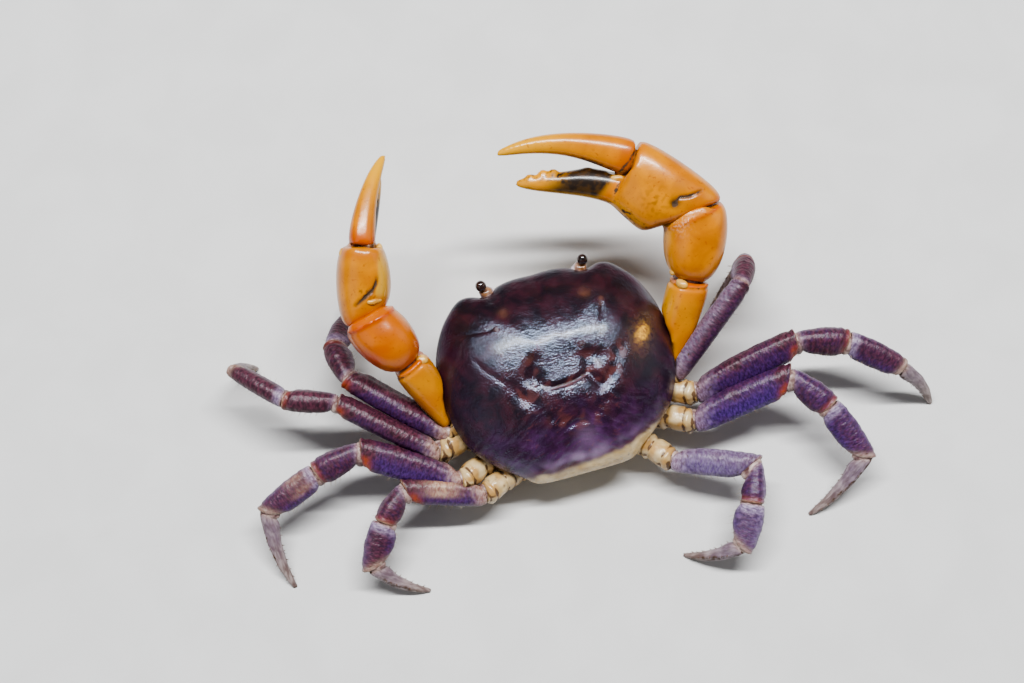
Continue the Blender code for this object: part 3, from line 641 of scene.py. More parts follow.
def paint_segment(piece, leg, part, place, length, root, tip, forward, high):
    """Paint the masks of a leg's segment, from where each vertex lies in it."""
    warmth, paleness = TINTS[leg]
    speckle = cloudy(place, 1.6, seed=5.0)
    blotch = cloudy(place, 0.35, seed=9.0)
    # A band along the upper front of each segment, painted paler: a painted highlight along its ridge
    ridge_highlight = hump(high, 0.45, 0.28) * step_up(forward, -0.9, 0.3)
    if part == "merus":
        front = 1.4 * step_up(forward, -0.5, 0.5) if leg == "right_leg1" else 1
        blot = hump(place[:, 0], 0.55 * length, 0.22 * length) * hump(high, 0.9, 0.2)
        end_spots = step_up(-root + 1.6 * (speckle - 0.5), -3.2, 0.0)
        corner = hump(tip, 0.75, 0.75) * step_up(-forward, 0.15, 0.8) * step_up(high, -0.8, -0.2)
        masks = {
            "warm": 0.8 * warmth + 0.65 * step_up(high + 0.8 * forward, 0.2, 1.5)
            + 0.4 * step_up(blotch, 0.5, 0.8) + 0.3 * step_up(-tip, -3.5, -0.5),
            "pale": 0.3 * step_up(length * 0.22 - root + 3.0 * (speckle - 0.5), -0.8, 2.6)
            + 0.35 * step_up(-high, 0.1, 0.9) + paleness * (0.55 + 0.45 * ridge_highlight) * front,
            "cream": 0.6 * hump(tip, 0.0, 0.2) + (0.15 if hand(leg) > 0 else 0.55) * end_spots
            + 0.7 * blot * (0.5 + 0.7 * speckle) * (leg == "left_leg4"),
            "red": 0.85 * corner * (0.6 + 0.8 * speckle) * (leg not in PLAIN_CORNERS),
        }
    elif part == "carpus":
        masks = {
            "warm": 0.30 + 0.6 * warmth + 0.5 * speckle + 0.25 * blotch,
            "pale": 0.35 * (1 - step_up(root, 0.4, 1.6)) + (0.25 + 0.55 * paleness) * ridge_highlight,
            "cream": 0.8 * hump(tip, 0.1, 0.26) + 0.25 * (1 - step_up(root, 0.3, 1.0)),
            "red": 0.3 * hump(tip, 0.7, 0.35),
        }
    elif part == "propodus":
        blot = hump(place[:, 0], 0.3 * length, 0.22 * length) * hump(high, 0.75, 0.3)
        masks = {
            "warm": 0.05 + 0.7 * warmth + 0.45 * step_up(high, 0.2, 1.0) + 0.3 * blotch,
            "pale": np.maximum(0.68 * (1 - step_up(root, 0.6, 2.0)), 0.35 * step_up(-high, 0.2, 1.0))
            + 0.25 * ridge_highlight + 0.25 * paleness,
            "cream": 0.65 * hump(tip, 0.0, 0.9) + 0.4 * hump(root, 0.0, 0.3)
            + 0.4 * blot * (0.4 + 0.8 * speckle) * (leg == "left_leg3"),
            "horn": 0.55 * step_up(-tip, -1.6, -0.2),
        }
    else:
        masks = {
            "warm": 0.3 + 0.7 * warmth + 0.3 * blotch,
            "pale": 0.40 - 0.3 * warmth + 0.3 * speckle,
            "cream": 0.8 * step_up(-tip, -2.4, -0.3) + 0.5 * hump(root, 0.0, 0.6),
            "horn": 0.55 + 0.5 * step_up(place[:, 0] / length, 0.2, 0.9),
        }
    for name, values in masks.items():
        paint(piece, name, values)
    dirt = 0.6 * hump(root, 0.0, 0.3) + 0.5 * hump(tip, 0.0, 0.2)
    if part == "merus":
        dirt += 0.5 * patches(place, 2.4, 3.0, 0.60, 0.72) * step_up(length * 0.3 - root, -1.0, 2.0)
    if part == "dactyl":
        dirt += 0.45 * step_up(hump(forward, -1.0, 0.12) + hump(forward, 1.0, 0.12), 0.3, 0.9)
    else:
        dirt += 0.5 * hump(tip, 0.85, 0.14)
    paint(piece, "dirt", dirt)


for leg in LEGS:
    for part in SEGMENTS[1:]:
        leg_segment(leg, part)
    print(leg, "has", len(SEGMENTS) - 1, "violet segments")

# %% [markdown]
# ## Soft skin in the joints
# Between two hard segments a crab has a soft, cream-coloured skin, which
# bulges on the inner side of the bend. Each one is a ball, added at its joint,
# flattened and turned to the joint's plane, pushed inward and puckered.

# %% A joint membrane
MEMBRANE_FILL = 0.84
MEMBRANE_PUSH = 0.16
MEMBRANE_PUCKER = 0.18
# How thick the skins are, in mm
CLAW_SKIN, LEG_SKIN, LAST_SKIN = 1.5, 1.1, 0.8


def ball(name, middle, axes, radii, segments=24, rings=14):
    """Add a sphere, stretch it along three directions and keep its place in the mesh."""
    bpy.ops.object.select_all(action="DESELECT")
    bpy.ops.mesh.primitive_uv_sphere_add(segments=segments, ring_count=rings, radius=1.0)
    piece = bpy.context.object
    piece.name = name
    turn = np.column_stack([axis * radius for axis, radius in zip(np.asarray(axes).T, radii)])
    matrix = Matrix([[*row, place] for row, place in zip(turn, middle)] + [[0, 0, 0, 1]])
    piece.data.transform(matrix)
    if matrix.determinant() < 0:
        piece.data.flip_normals()
    for face in piece.data.polygons:
        face.use_smooth = True
    return piece


def membrane(limb, part, depth):
    """Set the soft skin into one joint, as a puckered cushion."""
    joint = f"{limb}_{part}"
    middle, axes, half = JOINTS[joint]
    push = bend_inward(limb, part) * half[1:].mean() * MEMBRANE_PUSH
    piece = ball(f"{joint}_skin", middle + push, axes,
                 (depth * MM, half[1] * MEMBRANE_FILL, half[2] * MEMBRANE_FILL))
    push_out(piece, MEMBRANE_PUCKER * (cloudy((points(piece) - middle) / MM, 1.8, seed=len(joint)) - 0.5))
    if part in ("palm", "finger"):
        finish(piece, claw_skin_finish, "claw_shell")
    else:
        finish(piece, membrane_finish, "pale_shell")


membrane_finish = lay_up("cream joint skin", (900, 5, (0.09, 0.035, 0.035), (0.44, 0.32, 0.28)),
                         dirt=0.28, rough=0.42, wrinkles=0.5, grain=0.2, scale=1800, shine=(0.15, 0.3))
claw_skin_finish = lay_up("brown claw skin", (900, 5, (0.05, 0.016, 0.004), (0.34, 0.13, 0.025)),
                          dirt=0.3, rough=0.45, wrinkles=0.5, grain=0.2, scale=1800, shine=(0.1, 0.3))
for limb, chain in CHAINS.items():
    for part in chain[1:]:
        leg_depth = LAST_SKIN if part == "dactyl" else LEG_SKIN
        membrane(limb, part, leg_depth if limb in LEGS else CLAW_SKIN)

# %% [markdown]
# ## The cream bases of the limbs
# Between the body and each violet or orange segment lie two short, pale
# rings. Their edges flare into collars with a brown line of dirt in front of
# each. The solid has the two rings already, so the skin adds the collars.

# %% The bases
BASE_VOXEL = 0.2 * MM
# Where the collars are, from 0 at the body to 1, and how far they and the rest go in and out
COLLARS = (0.10, 0.46, 0.93)
COLLAR_HEIGHT, TROUGH_DEPTH, BASE_LUMPS = 0.09, 0.05, 0.16


def limb_base(limb):
    """Build the pale base of a leg or claw."""
    node = f"{limb}_base"
    end = JOINTS[f"{limb}_merus"][0]
    start = furthest(node, end)
    piece = shell(node, f"{node}_shell", BASE_VOXEL, 6, rounding=0)
    place, length = lay_out(piece, start, end)
    share = place[:, 0] / length
    collar = sum(hump(share, middle, 0.035) for middle in COLLARS)
    trough = sum(hump(share, middle + way, 0.03) for middle in COLLARS for way in (-0.075, 0.075))
    lumps = cloudy(place, 0.7, seed=21.0) - 0.5
    pinch(piece, start, end, COLLAR_HEIGHT * collar - TROUGH_DEPTH * trough + BASE_LUMPS * lumps)
    paint(piece, "amber", 0.35 + 0.65 * patches(place, 0.6, 22.0, 0.42, 0.7))
    uneven = patches(place, 1.0, 24.0, 0.3, 0.65)
    paint(piece, "dirt", 0.75 * np.clip(trough, 0, 1) * (0.3 + 0.7 * uneven)
          + 0.45 * patches(place, 0.9, 23.0, 0.5, 0.75))
    finish(piece, bone_finish, "pale_shell", node)


bone_finish = lay_up(
    "ivory shell", (500, 5, (0.46, 0.33, 0.15), (0.68, 0.56, 0.34)), [("amber", (0.42, 0.24, 0.08))],
    rough=0.32, wrinkles=0.3, grain=0.2, scale=900, shine=(0.35, 0.2),
    Scale=800.0, Dirt_Color=(0.11, 0.055, 0.02, 1.0))
for limb in CHAINS:
    limb_base(limb)
print("bases", len(CHAINS))

# %% [markdown]
# ## The back shell
# The carapace is a smooth dome, nearly black in front and violet behind, with
# a pale rim along its rear edge. Deep in the middle runs a short crack-like
# groove with a hollow at each end, and a second, shallow groove lies behind
# it. Reading the photograph against the solid gave their places, which are
# kept as short lists of points in the body's level frame. Each is pressed
# into the shell as a soft valley.

# %% Press grooves and dimples into a shell
CARAPACE_VOXEL = 0.25 * MM


def distance_to_path(where, path):
    """Distance of each flat point from a line of points, and the share along it."""
    best = np.full(len(where), np.inf)
    share = np.zeros(len(where))
    path = np.array(path, dtype=float)
    for index, (first, second) in enumerate(zip(path, path[1:])):
        way = second - first
        reach = np.clip((where - first) @ way / (way @ way), 0, 1)
        away = np.linalg.norm(where - first - reach[:, None] * way, axis=1)
        closer = away < best
        best[closer] = away[closer]
        share[closer] = (index + reach[closer]) / (len(path) - 1)
    return best, share


def valley(where, path, depth, width):
    """How deep a groove along a path presses each point, fading at its ends."""
    away, share = distance_to_path(where, path)
    ends = np.sqrt(np.clip(4 * share * (1 - share), 0, 1)) * 0.8 + 0.2
    return depth * ends * hump(away, 0.0, width)


# Paths over the shell: depth and width in mm, then points x, y
GROOVES = [
    (0.30, 0.42, [(-3.6, -2.4), (-2.3, -3.1), (-0.5, -3.1), (1.4, -2.9), (3.3, -2.3)]),
    (0.38, 0.9, [(-3.4, 2.2), (-4.3, 0.9), (-4.6, -0.8), (-4.0, -2.4)]),
    (0.16, 1.0, [(-8.6, -0.6), (-7.4, -2.4), (-6.2, -4.4), (-4.9, -5.6)]),
    (0.45, 0.9, [(4.2, 1.0), (4.0, -0.8), (3.7, -2.2), (4.9, -4.6), (6.4, -4.4)]),
    (0.16, 0.9, [(6.4, -4.4), (7.4, -2.8), (8.6, -0.6), (10.4, 0.8)]),
    (0.22, 0.8, [(4.6, -6.8), (3.2, -8.4), (1.2, -9.0), (-0.4, -9.0), (-2.4, -8.4), (-4.0, -6.8)]),
    (0.12, 0.5, [(-0.3, -9.0), (0.6, -11.0), (0.4, -12.6)]),
    (0.08, 0.35, [(-12.4, 4.2), (-11.2, 2.0), (-9.4, -0.1), (-8.7, -0.7)]),
    (0.16, 0.28, [(8.6, 7.6), (8.2, 6.2), (7.5, 4.8)]),
    (0.14, 0.25, [(-14.2, 8.8), (-12.0, 8.3), (-9.6, 7.9), (-8.2, 8.0)]),
    (0.16, 0.6, [(0.2, 14.6), (0.1, 12.2), (0.0, 10.4)]),
]
# Dimples: depth, width and place in mm
DIMPLES = [
    (0.32, 1.5, (-5.0, -1.2)), (0.30, 1.3, (5.6, -0.6)), (0.24, 1.1, (6.3, -3.4)),
    (0.18, 1.2, (-6.4, -3.6)), (-0.18, 1.0, (4.8, -0.9)), (-0.14, 1.1, (-5.9, -2.6)),
    (-0.12, 1.0, (5.2, -2.9)), (-0.18, 2.4, (0.0, -5.6)), (0.14, 0.7, (6.6, 9.8)), (0.14, 0.7, (-6.2, 9.9)),
]
RIM_HEIGHT = 0.35
# The hollows that the eyestalks stand in
ORBIT_RADIUS, ORBIT_DEPTH = 1.5 * MM, 0.7
# A low swelling across the front third, which carries the long highlight
BROW_HEIGHT = 0.30
# Broad unevenness, fine unevenness and the wrinkles at the rear
UNEVEN, FINE, WRINKLE_DEPTH = 0.4, 0.03, 0.22

carapace = shell("carapace", "carapace_shell", CARAPACE_VOXEL, 14, swell=0.06 * MM)
place = to_body(points(carapace))
flat = place[:, :2]
# How much each vertex faces up, from 1 on top to 0 at the rim
tilt = to_body(points(carapace) + normals(carapace) * MM)[:, 2] - place[:, 2]
press = sum(valley(flat, path, depth, width) for depth, width, path in GROOVES)
press = press + sum(depth * spot(flat, middle, width) for depth, width, middle in DIMPLES)
regions = cloudy(place, 0.16, seed=2.0) - 0.5
fine = cloudy(place * (1.0, 1.6, 1.0), 0.9, seed=4.0) - 0.5
slanted = np.column_stack([np.abs(flat[:, 0]) * 0.55 + flat[:, 1] * 1.1,
                           flat[:, 1] * 0.35 - np.abs(flat[:, 0]) * 0.3, flat[:, 0] * 0.08])
folded = np.array([abs(noise.noise(Vector(p))) for p in slanted])
wrinkles = folded * step_up(-place[:, 1], 4.0, 9.0)
edge_ridge = RIM_HEIGHT * hump(tilt, 0.12, 0.2) * step_up(place[:, 1], -11.5, -8.0)
corner = hump(tilt, 0.45, 0.28) * step_up(place[:, 1], 7.0, 12.0)
orbit = sum(spot(points(carapace), np.mean(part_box(f"{side}_eyestalk"), axis=0), ORBIT_RADIUS)
            for side in SIDES)
brow = hump(place[:, 1], 5.0, 3.6) * hump(flat[:, 0], 0.0, 13.0)
move = -press + UNEVEN * regions + FINE * fine - WRINKLE_DEPTH * wrinkles + BROW_HEIGHT * brow
move = move * step_up(tilt, 0.1, 0.5) + 0.45 * edge_ridge + 0.6 * corner - ORBIT_DEPTH * orbit
push_out(carapace, move)
print("carapace", len(carapace.data.polygons), "faces, deepest groove", round(press.max(), 2), "mm")

# %% [markdown]
# ## Where the back shell changes colour
# The pale rear rim follows the shell's rear edge and is sharply set off from
# the violet above it. Red-brown stains line the grooves, two soft brown spots
# lie behind the eyes, and one golden patch shows where the shell is rubbed.

# %% Paint the back shell
RIM_PATH = [(-16.5, -11.0), (-14.6, -12.3), (-12.5, -13.6), (-8.5, -14.6), (-4.4, -14.9), (-0.9, -14.7),
            (3.0, -14.5), (7.1, -13.9), (10.0, -12.6), (13.6, -10.8), (16.6, -9.4)]
# Brown spots: how dark, how wide and their place in mm
SPOTS = [
    (0.95, 0.85, (6.6, 9.8)), (0.85, 0.8, (-6.2, 9.9)), (0.9, 0.4, (8.7, 8.2)), (0.6, 0.35, (8.3, 7.3)),
    (0.8, 0.4, (-7.9, 7.7)), (0.5, 0.6, (-4.3, 2.0)), (0.6, 0.5, (3.8, 2.2)), (0.5, 0.35, (-8.2, 3.6)),
]
GOLDEN_PATCH = (13.4, 1.6)


def behind_path(path):
    """How far each vertex of the back shell lies behind a line across it, in millimetres."""
    path_x, path_y = np.array(path).T
    return np.interp(flat[:, 0], path_x, path_y) - flat[:, 1]


beyond = behind_path(RIM_PATH) + 0.5 * (cloudy(place, 0.8, seed=1.0) - 0.5)
aside, rearward = np.abs(flat[:, 0]), -flat[:, 1]
paint(carapace, "cream", np.maximum(step_up(beyond, -0.15, 0.75) * step_up(-aside, -16.4, -14.5),
                                    0.7 * step_up(-place[:, 2], 1.3, 2.1)))
paint(carapace, "violet", 0.85 * step_up(rearward + 5.0 * (cloudy(place, 0.25, seed=6.0) - 0.5), 4.0, 13.0)
      + 0.12 * step_up(aside + 3.0 * cloudy(place, 0.3, seed=3.0), 13.0, 17.5))
stain = sum(valley(flat, path, 1.0, 1.7 * width) for _, width, path in GROOVES[:6])
paint(carapace, "red", 0.8 * stain * patches(place, 0.8, 7.0, 0.46, 0.66)
      + 0.8 * hump(tilt, 0.12, 0.12) * step_up(place[:, 1], -6, 2) + 0.5 * hump(beyond, -0.2, 0.3))
paint(carapace, "vein", 0.55 * hump(folded, 0.0, 0.035) * step_up(rearward, -1.0, 3.0)
      * step_up(-aside, -11.0, -6.0) * patches(place, 0.5, 14.0, 0.35, 0.65))
dusty = patches(place, 0.5, 12.0, 0.3, 0.7) * hump(beyond, -0.7, 0.9)
paint(carapace, "bloom", dusty * hump(flat[:, 0], 1.0, 7.0)
      + 0.35 * hump(flat[:, 0], 1.0, 1.6) * hump(place[:, 1], -11.5, 1.8))
uneven = 0.35 + 0.9 * cloudy(place, 1.6, seed=8.0)
paint(carapace, "brown", uneven * sum(dark * spot(flat, middle, width) for dark, width, middle in SPOTS))
smeared = (flat - GOLDEN_PATCH) @ np.array([(0.8, 0.6), (-0.6, 0.8)]) / (1.0, 1.7)
paint(carapace, "gold", 0.85 * step_up(1.5 * spot(smeared, (0, 0), 1.0) * uneven, 0.05, 1.15)
      + 0.12 * spot(smeared, (0, 0), 2.0))
paint(carapace, "gloss", 0.36 * step_up(tilt, 0.35, 0.85) * (1 - 0.6 * step_up(press, 0.08, 0.3))
      * (0.4 + 0.6 * step_up(place[:, 1], -4.0, 1.0)))
crack_path = GROOVES[0][2]
crack = distance_to_path(flat, crack_path)[0]
paint(carapace, "crack", hump(crack, 0.24, 0.10) * (behind_path(crack_path) > -0.05))
paint(carapace, "dirt", 0.75 * hump(crack, 0.0, 0.14)
      + 0.12 * step_up(press, 0.35, 0.6) + 0.35 * hump(beyond, 1.4, 0.5) + 0.3 * orbit)

# %% The finish of the back shell
carapace_finish = lay_up(
    "purple back shell", (420, 6, (0.009, 0.003, 0.006), (0.036, 0.007, 0.013), 0.35, 0.7), [
        ("violet", (500, 6, (0.028, 0.007, 0.028), (0.072, 0.020, 0.082), 0.35, 0.68)),
        ("red", (0.105, 0.030, 0.025)),
        ("vein", (0.13, 0.035, 0.035)),
        ("brown", (0.110, 0.045, 0.026)),
        ("bloom", (0.26, 0.17, 0.27)),
        ("gold", (1800, 4, (0.22, 0.09, 0.025), (0.72, 0.38, 0.05), 0.3, 0.65)),
        ("cream", (450, 5, (0.46, 0.30, 0.11), (0.70, 0.54, 0.30))),
        ("crack", (0.16, 0.09, 0.10)),
    ], rough=0.22, wrinkles=0.05, grain=0.85, scale=700, shine=(0.0, 0.2, 0.65))
tree = carapace_finish.node_tree
shader = tree.nodes["Principled BSDF"]
shader.inputs["Specular Tint"].default_value = (0.62, 0.76, 1.0, 1.0)
tree.links.new(share_of(tree, "gloss"), shader.inputs["Coat Weight"])
finish(carapace, carapace_finish, "back_shell", "carapace")

# %% [markdown]
# ## The claws
# Both claws are glossy amber orange, redder at the joints and yellow towards
# the finger tips. Each carpus and palm ends in a raised lip, the hinge of the
# moving finger lies between two pale knobs, and dark specks of dirt line the
# cutting edges. Black over the root of the fixed finger is partly dirt and
# partly the moving finger's shadow, painted on. The two claws differ in size,
# so one set of functions builds both, and each reads its own joints.

# %% Measure a claw
CLAW_VOXEL = 0.24 * MM
# Rounds of smoothing that even out how hollow a place is
HOLLOW_ROUNDS = 3


def hollowness(piece):
    """How far each vertex lies below its neighbours, in millimetres, smoothed."""
    count = len(piece.data.vertices)
    pairs = np.empty(len(piece.data.edges) * 2, dtype=int)
    piece.data.edges.foreach_get("vertices", pairs)
    first, second = pairs.reshape(-1, 2).T
    degree = np.bincount(first, minlength=count) + np.bincount(second, minlength=count)

    def around(values):
        total = np.zeros_like(values)
        np.add.at(total, first, values[second])
        np.add.at(total, second, values[first])
        return total / degree.reshape((-1,) + (1,) * (values.ndim - 1))

    where = spread = points(piece)
    for _ in range(2 * HOLLOW_ROUNDS):
        spread = around(spread)
    below = np.einsum("ij,ij->i", spread - where, normals(piece)) / MM
    for _ in range(HOLLOW_ROUNDS):
        below = around(below)
    return below


def thumb_way(side, start, end):
    """Direction from a claw piece's line towards the fixed finger."""
    along = unit(end - start)
    way = furthest(f"{side}_claw_palm", JOINTS[f"{side}_claw_palm"][0]) - start
    return unit(way - along * (way @ along))


# %% The lip of the carpus and the cleft of the palm
# Where the lip of each carpus is highest, how far it reaches, and the dark cleft in the
# palm above it, all in mm
LIP_TOP = {"right": (17.8, 12.9, 26.4), "left": (-29.0, 12.4, 25.6)}
LIP_REACH = {"right": (1.7, 0.5), "left": (0.9, 0.45)}
CLEFTS = {
    "right": [(18.0, 14.9, 27.4), (19.4, 15.7, 28.0), (20.9, 15.6, 27.8), (23.2, 16.2, 27.5)],
    "left": [(-27.0, 17.0, 26.9), (-27.5, 15.4, 26.6), (-28.1, 14.7, 26.2), (-29.8, 13.9, 25.7),
             (-31.4, 13.4, 24.9)],
}
CLEFT_PIT = {"right": ((18.5, 15.1, 27.6), 0.75), "left": ((-28.4, 14.5, 26.1), 0.4)}
STAIN = {"right": ((15.6, 16.4, 27.6), 2.2), "left": ((-29.5, 14.6, 26.0), 1.0)}
STAIN_DEPTH = {"right": 0.4, "left": 0.8}
# The left palm's yellow flank starts at this line, given as y and x in mm
STRIP_EDGE = [(12.0, -29.0), (14.7, -28.1), (15.4, -27.5), (17.5, -26.9), (21.1, -25.8), (23.0, -25.0)]
CLEFT_DEPTH = 0.35


def raise_lip(piece, side, along):
    """Draw the upper rim of a carpus out over the palm."""
    middle, _, half = JOINTS[f"{side}_claw_palm"]
    away = points(piece) - middle
    radial = away - np.outer(away @ along, along)
    distance = np.linalg.norm(radial, axis=1)
    radial = radial / (distance[:, None] + 1e-9)
    to_top = np.array(LIP_TOP[side]) * MM - middle
    to_top = unit(to_top - along * (to_top @ along))
    gap = from_joint(piece, f"{side}_claw_palm")
    share = hump(np.maximum(gap, 0), 0.0, 1.1) * step_up(radial @ to_top, 0.05, 0.85)
    share = share * step_up(distance / half[1:].mean(), 0.5, 0.9)
    forward, outward = LIP_REACH[side]
    set_points(piece, points(piece) + (share[:, None] * (forward * along + outward * radial)) * MM)


def press_cleft(piece, side):
    """Press the dark cleft into a palm, and paint it, its stain and the yellow flank."""
    where = points(piece) / MM
    close = np.maximum(valley(where, CLEFTS[side], 1.0, 0.28), spot(where, *CLEFT_PIT[side]))
    broken = patches(where, 1.7, 17.0, 0.46, 0.66)
    paint(piece, "cleft", 1.1 * close + STAIN_DEPTH[side] * spot(where, *STAIN[side]) * broken)
    push_out(piece, -CLEFT_DEPTH * close)
    if side == "left":
        x, y, z = points(piece).T / MM
        edge_y, edge_x = np.array(STRIP_EDGE).T
        paint(piece, "strip", 0.9 * step_up(x - np.interp(y, edge_y, edge_x), 0.0, 0.6)
              * step_up(y, 13.6, 14.4) * step_up(z, 21.5, 26.0))


# %% Shape and paint one piece of a claw


def claw_piece(side, part):
    """Build and paint one orange piece of a claw."""
    limb, left = f"{side}_claw", side == "left"
    node = f"{limb}_{part}"
    start, end = span(limb, part)
    piece = shell(node, f"{node}_shell", CLAW_VOXEL, 8)
    place, length = lay_out(piece, start, end)
    inward = thumb_way(side, start, end)
    reach = (points(piece) - start) @ inward / MM
    facing = normals(piece) @ inward
    root, tip = from_joint(piece, node), length - place[:, 0]
    if part == "carpus":
        raise_lip(piece, side, unit(end - start))
    if part == "palm":
        press_cleft(piece, side)
    if part in ("merus", "carpus"):
        tip = from_joint(piece, f"{limb}_{CLAW_CHAIN[CLAW_CHAIN.index(part) + 1]}")
        lip = 0.055 * hump(tip, 0.25, 0.3) - 0.05 * hump(tip, 0.95, 0.25) * (part == "merus")
        pinch(piece, start, end, lip - 0.08 * hump(root, 0.0, 0.7))
    broad = cloudy(place, 0.22, seed=11.0)
    fine = cloudy(place, 1.2, seed=12.0)
    patchy = cloudy(place, 0.9, seed=13.0) + 0.25 * (cloudy(place, 3.0, seed=14.0) - 0.5)
    patchy = step_up(patchy, 0.40, 0.62)
    # Darker where a place lies below its neighbours, at the root and in a fine scatter
    dirt = 0.22 * fine + 0.5 * step_up(hollowness(piece), 0.004, 0.03) + 0.5 * hump(root, 0.1, 0.35)
    if part == "merus":
        dirt += 0.40 * hump(tip, 0.75, 0.15)
        masks = {
            "yellow": 0.15 + 0.45 * step_up(facing, 0.2, 0.9) + 0.25 * broad,
            "red": 0.45 * hump(tip, 0.3, 0.5) + 0.35 * step_up(broad, 0.4, 0.8),
        }
    elif part == "carpus":
        flush = step_up(broad, 0.45, 0.8)
        masks = {
            "yellow": 0.05 + 0.35 * step_up(broad, 0.5, 0.75) + 0.55 * step_up(facing, 0.5, 0.95),
            "red": 0.5 * hump(tip, 0.4, 0.3) + 0.35 * hump(root, 0.6, 1.1)
            + (0.45 + 0.6 * flush if left else 0.35 * flush),
            "chalk": 0.0 if left else 0.8 * spot(points(piece) / MM, LIP_TOP[side], 1.9),
        }
    elif part == "palm":
        beyond = place[:, 0] - length
        thumb = step_up(beyond, -0.5, 1.2) * step_up(reach, 0.8, 2.4)
        to_tip = np.clip(beyond / beyond.max(), 0, 1)
        flecks = patches(place, 2.2, 15.0, 0.55, 0.72)
        dirt += (0.6 * step_up(facing, 0.1, 0.9) * step_up(patchy + fine, 0.4, 1.9)
                 * step_up(-beyond, -1.5, 1.0))
        masks = {
            "yellow": 0.05 + 0.2 * broad + 0.45 * thumb
            + 0.6 * hump(beyond, 0.4, 0.9) * hump(reach, 2.2, 1.0)
            + (0.95 if left else 0.4) * step_up(facing, 0.5, 0.7),
            "red": 0.6 * hump(root, 0.4, 0.9) + 0.3 * hump(beyond, -0.5, 0.7)
            + 0.2 * step_up(1 - broad, 0.5, 0.8),
            # Over the upper root of the fixed finger this paints black: partly dirt, partly the moving
            # finger's shadow painted into the colour. The flecks and the patch at the palm's root are dirt.
            "soot_and_shadow": thumb * (1 - step_up(to_tip, 0.45, 0.80)) * (0.94 + 0.1 * patchy)
            * step_up(-facing, -0.8, -0.45)
            + 0.8 * thumb * flecks * step_up(-facing, -0.2, 0.6)
            + 0.8 * hump(root, 0.2, 0.8) * step_up(reach, 0.5, 2.5) * patchy,
        }
    else:
        flecks = patches(place, 1.4, 16.0, 0.38, 0.6)
        masks = {
            "yellow": step_up(root / length, 0.25, 1.0) + 0.15 * broad,
            "red": (0.9 if left else 0.5) * hump(root, 0.2, 2.4),
            "soot_and_shadow": 0.9 * step_up(facing, 0.45, 0.85) * flecks
            * step_up(root, 0.3, 1.5) * (1 - step_up(root, 5.0, 8.0)),
        }
    for name, values in {**masks, "dirt": dirt}.items():
        paint(piece, name, values)
    finish(piece, claw_finish, "claw_shell", node)


# %% Amber claw shell
# The chalk shows in specks where the shell is rubbed, and faint freckles lie all over it
FRECKLES = 0.45
claw_finish = lay_up(
    "amber claw shell", (260, 5, (0.40, 0.115, 0.002), (0.58, 0.195, 0.003)), [
        ("yellow", (0.66, 0.33, 0.016)),
        ("strip", (0.60, 0.33, 0.035)),
        ("red", (0.42, 0.062, 0.004)),
        ("chalk", (0.62, 0.42, 0.30), (2600, 0.5, 0.62)),
        (FRECKLES, (0.25, 0.045, 0.004), (1700, 0.62, 0.72)),
        # Near black, for dirt and, over the fixed finger's root, a painted shadow
        ("soot_and_shadow", (0.016, 0.008, 0.004)),
        ("cleft", (0.010, 0.005, 0.003)),
    ], rough=0.30, wrinkles=0.06, grain=0.16, scale=700, shine=(0.22, 0.16))
for side in SIDES:
    for part in CLAW_CHAIN[1:]:
        claw_piece(side, part)
    print(side, "claw has", len(CLAW_CHAIN) - 1, "orange pieces")

# %% [markdown]
# ## The underside, the folded tail and the mouth
# Underneath, the crab is ivory, with fine brown seams between its breast
# plates. The tail is folded forward in a groove and shows its rings. Two
# broad mouth parts close over the mouth like doors. Their seams are narrow
# valleys across the body's own directions.

# %% Seams as valleys
SEAM_WIDTH = 0.22
# Heights along the body, in mm from its middle, of the seams between plates
BREAST_SEAMS = (-11.2, -7.6, -3.8, 0.0, 3.6, 7.0)
TAIL_RINGS = (-13.3, -11.0, -8.6, -6.1, -3.4)
MOUTH_SEAMS = (7.6, 10.6)


def seamed(node, voxel, relax, seams, slant, depth):
    """Build a plate with seams across it; slant bends each seam forward at its sides."""
    piece = shell(node, f"{node}_shell", voxel, relax)
    place = to_body(points(piece))
    below = step_up(to_body(points(piece) - normals(piece) * MM)[:, 2] - place[:, 2], 0.1, 0.6)
    line = place[:, 1] - slant * np.abs(place[:, 0])
    seam = sum(hump(line, middle, SEAM_WIDTH) for middle in seams) * below
    push_out(piece, -depth * seam + 0.25 * (cloudy(place, 0.5, seed=31.0) - 0.5))
    paint(piece, "amber", 0.5 * patches(place, 0.4, 32.0, 0.45, 0.75))
    paint(piece, "dirt", 0.75 * np.clip(seam, 0, 1)
          + 0.30 * patches(place, 1.2, 33.0, 0.5, 0.8))
    finish(piece, bone_finish, "pale_shell", node)


seamed("underside", 0.27 * MM, 8, BREAST_SEAMS, 0.35, 0.30)
seamed("abdomen", 0.22 * MM, 6, TAIL_RINGS, 0.0, 0.30)
for side in SIDES:
    seamed(f"{side}_maxilliped", 0.18 * MM, 6, MOUTH_SEAMS, 0.0, 0.22)
print("underside built")

# %% [markdown]
# ## The eyes
# Each eye is a dark glossy bead on a short stalk that is orange brown at the
# neck and flares into a pale foot in its hollow.

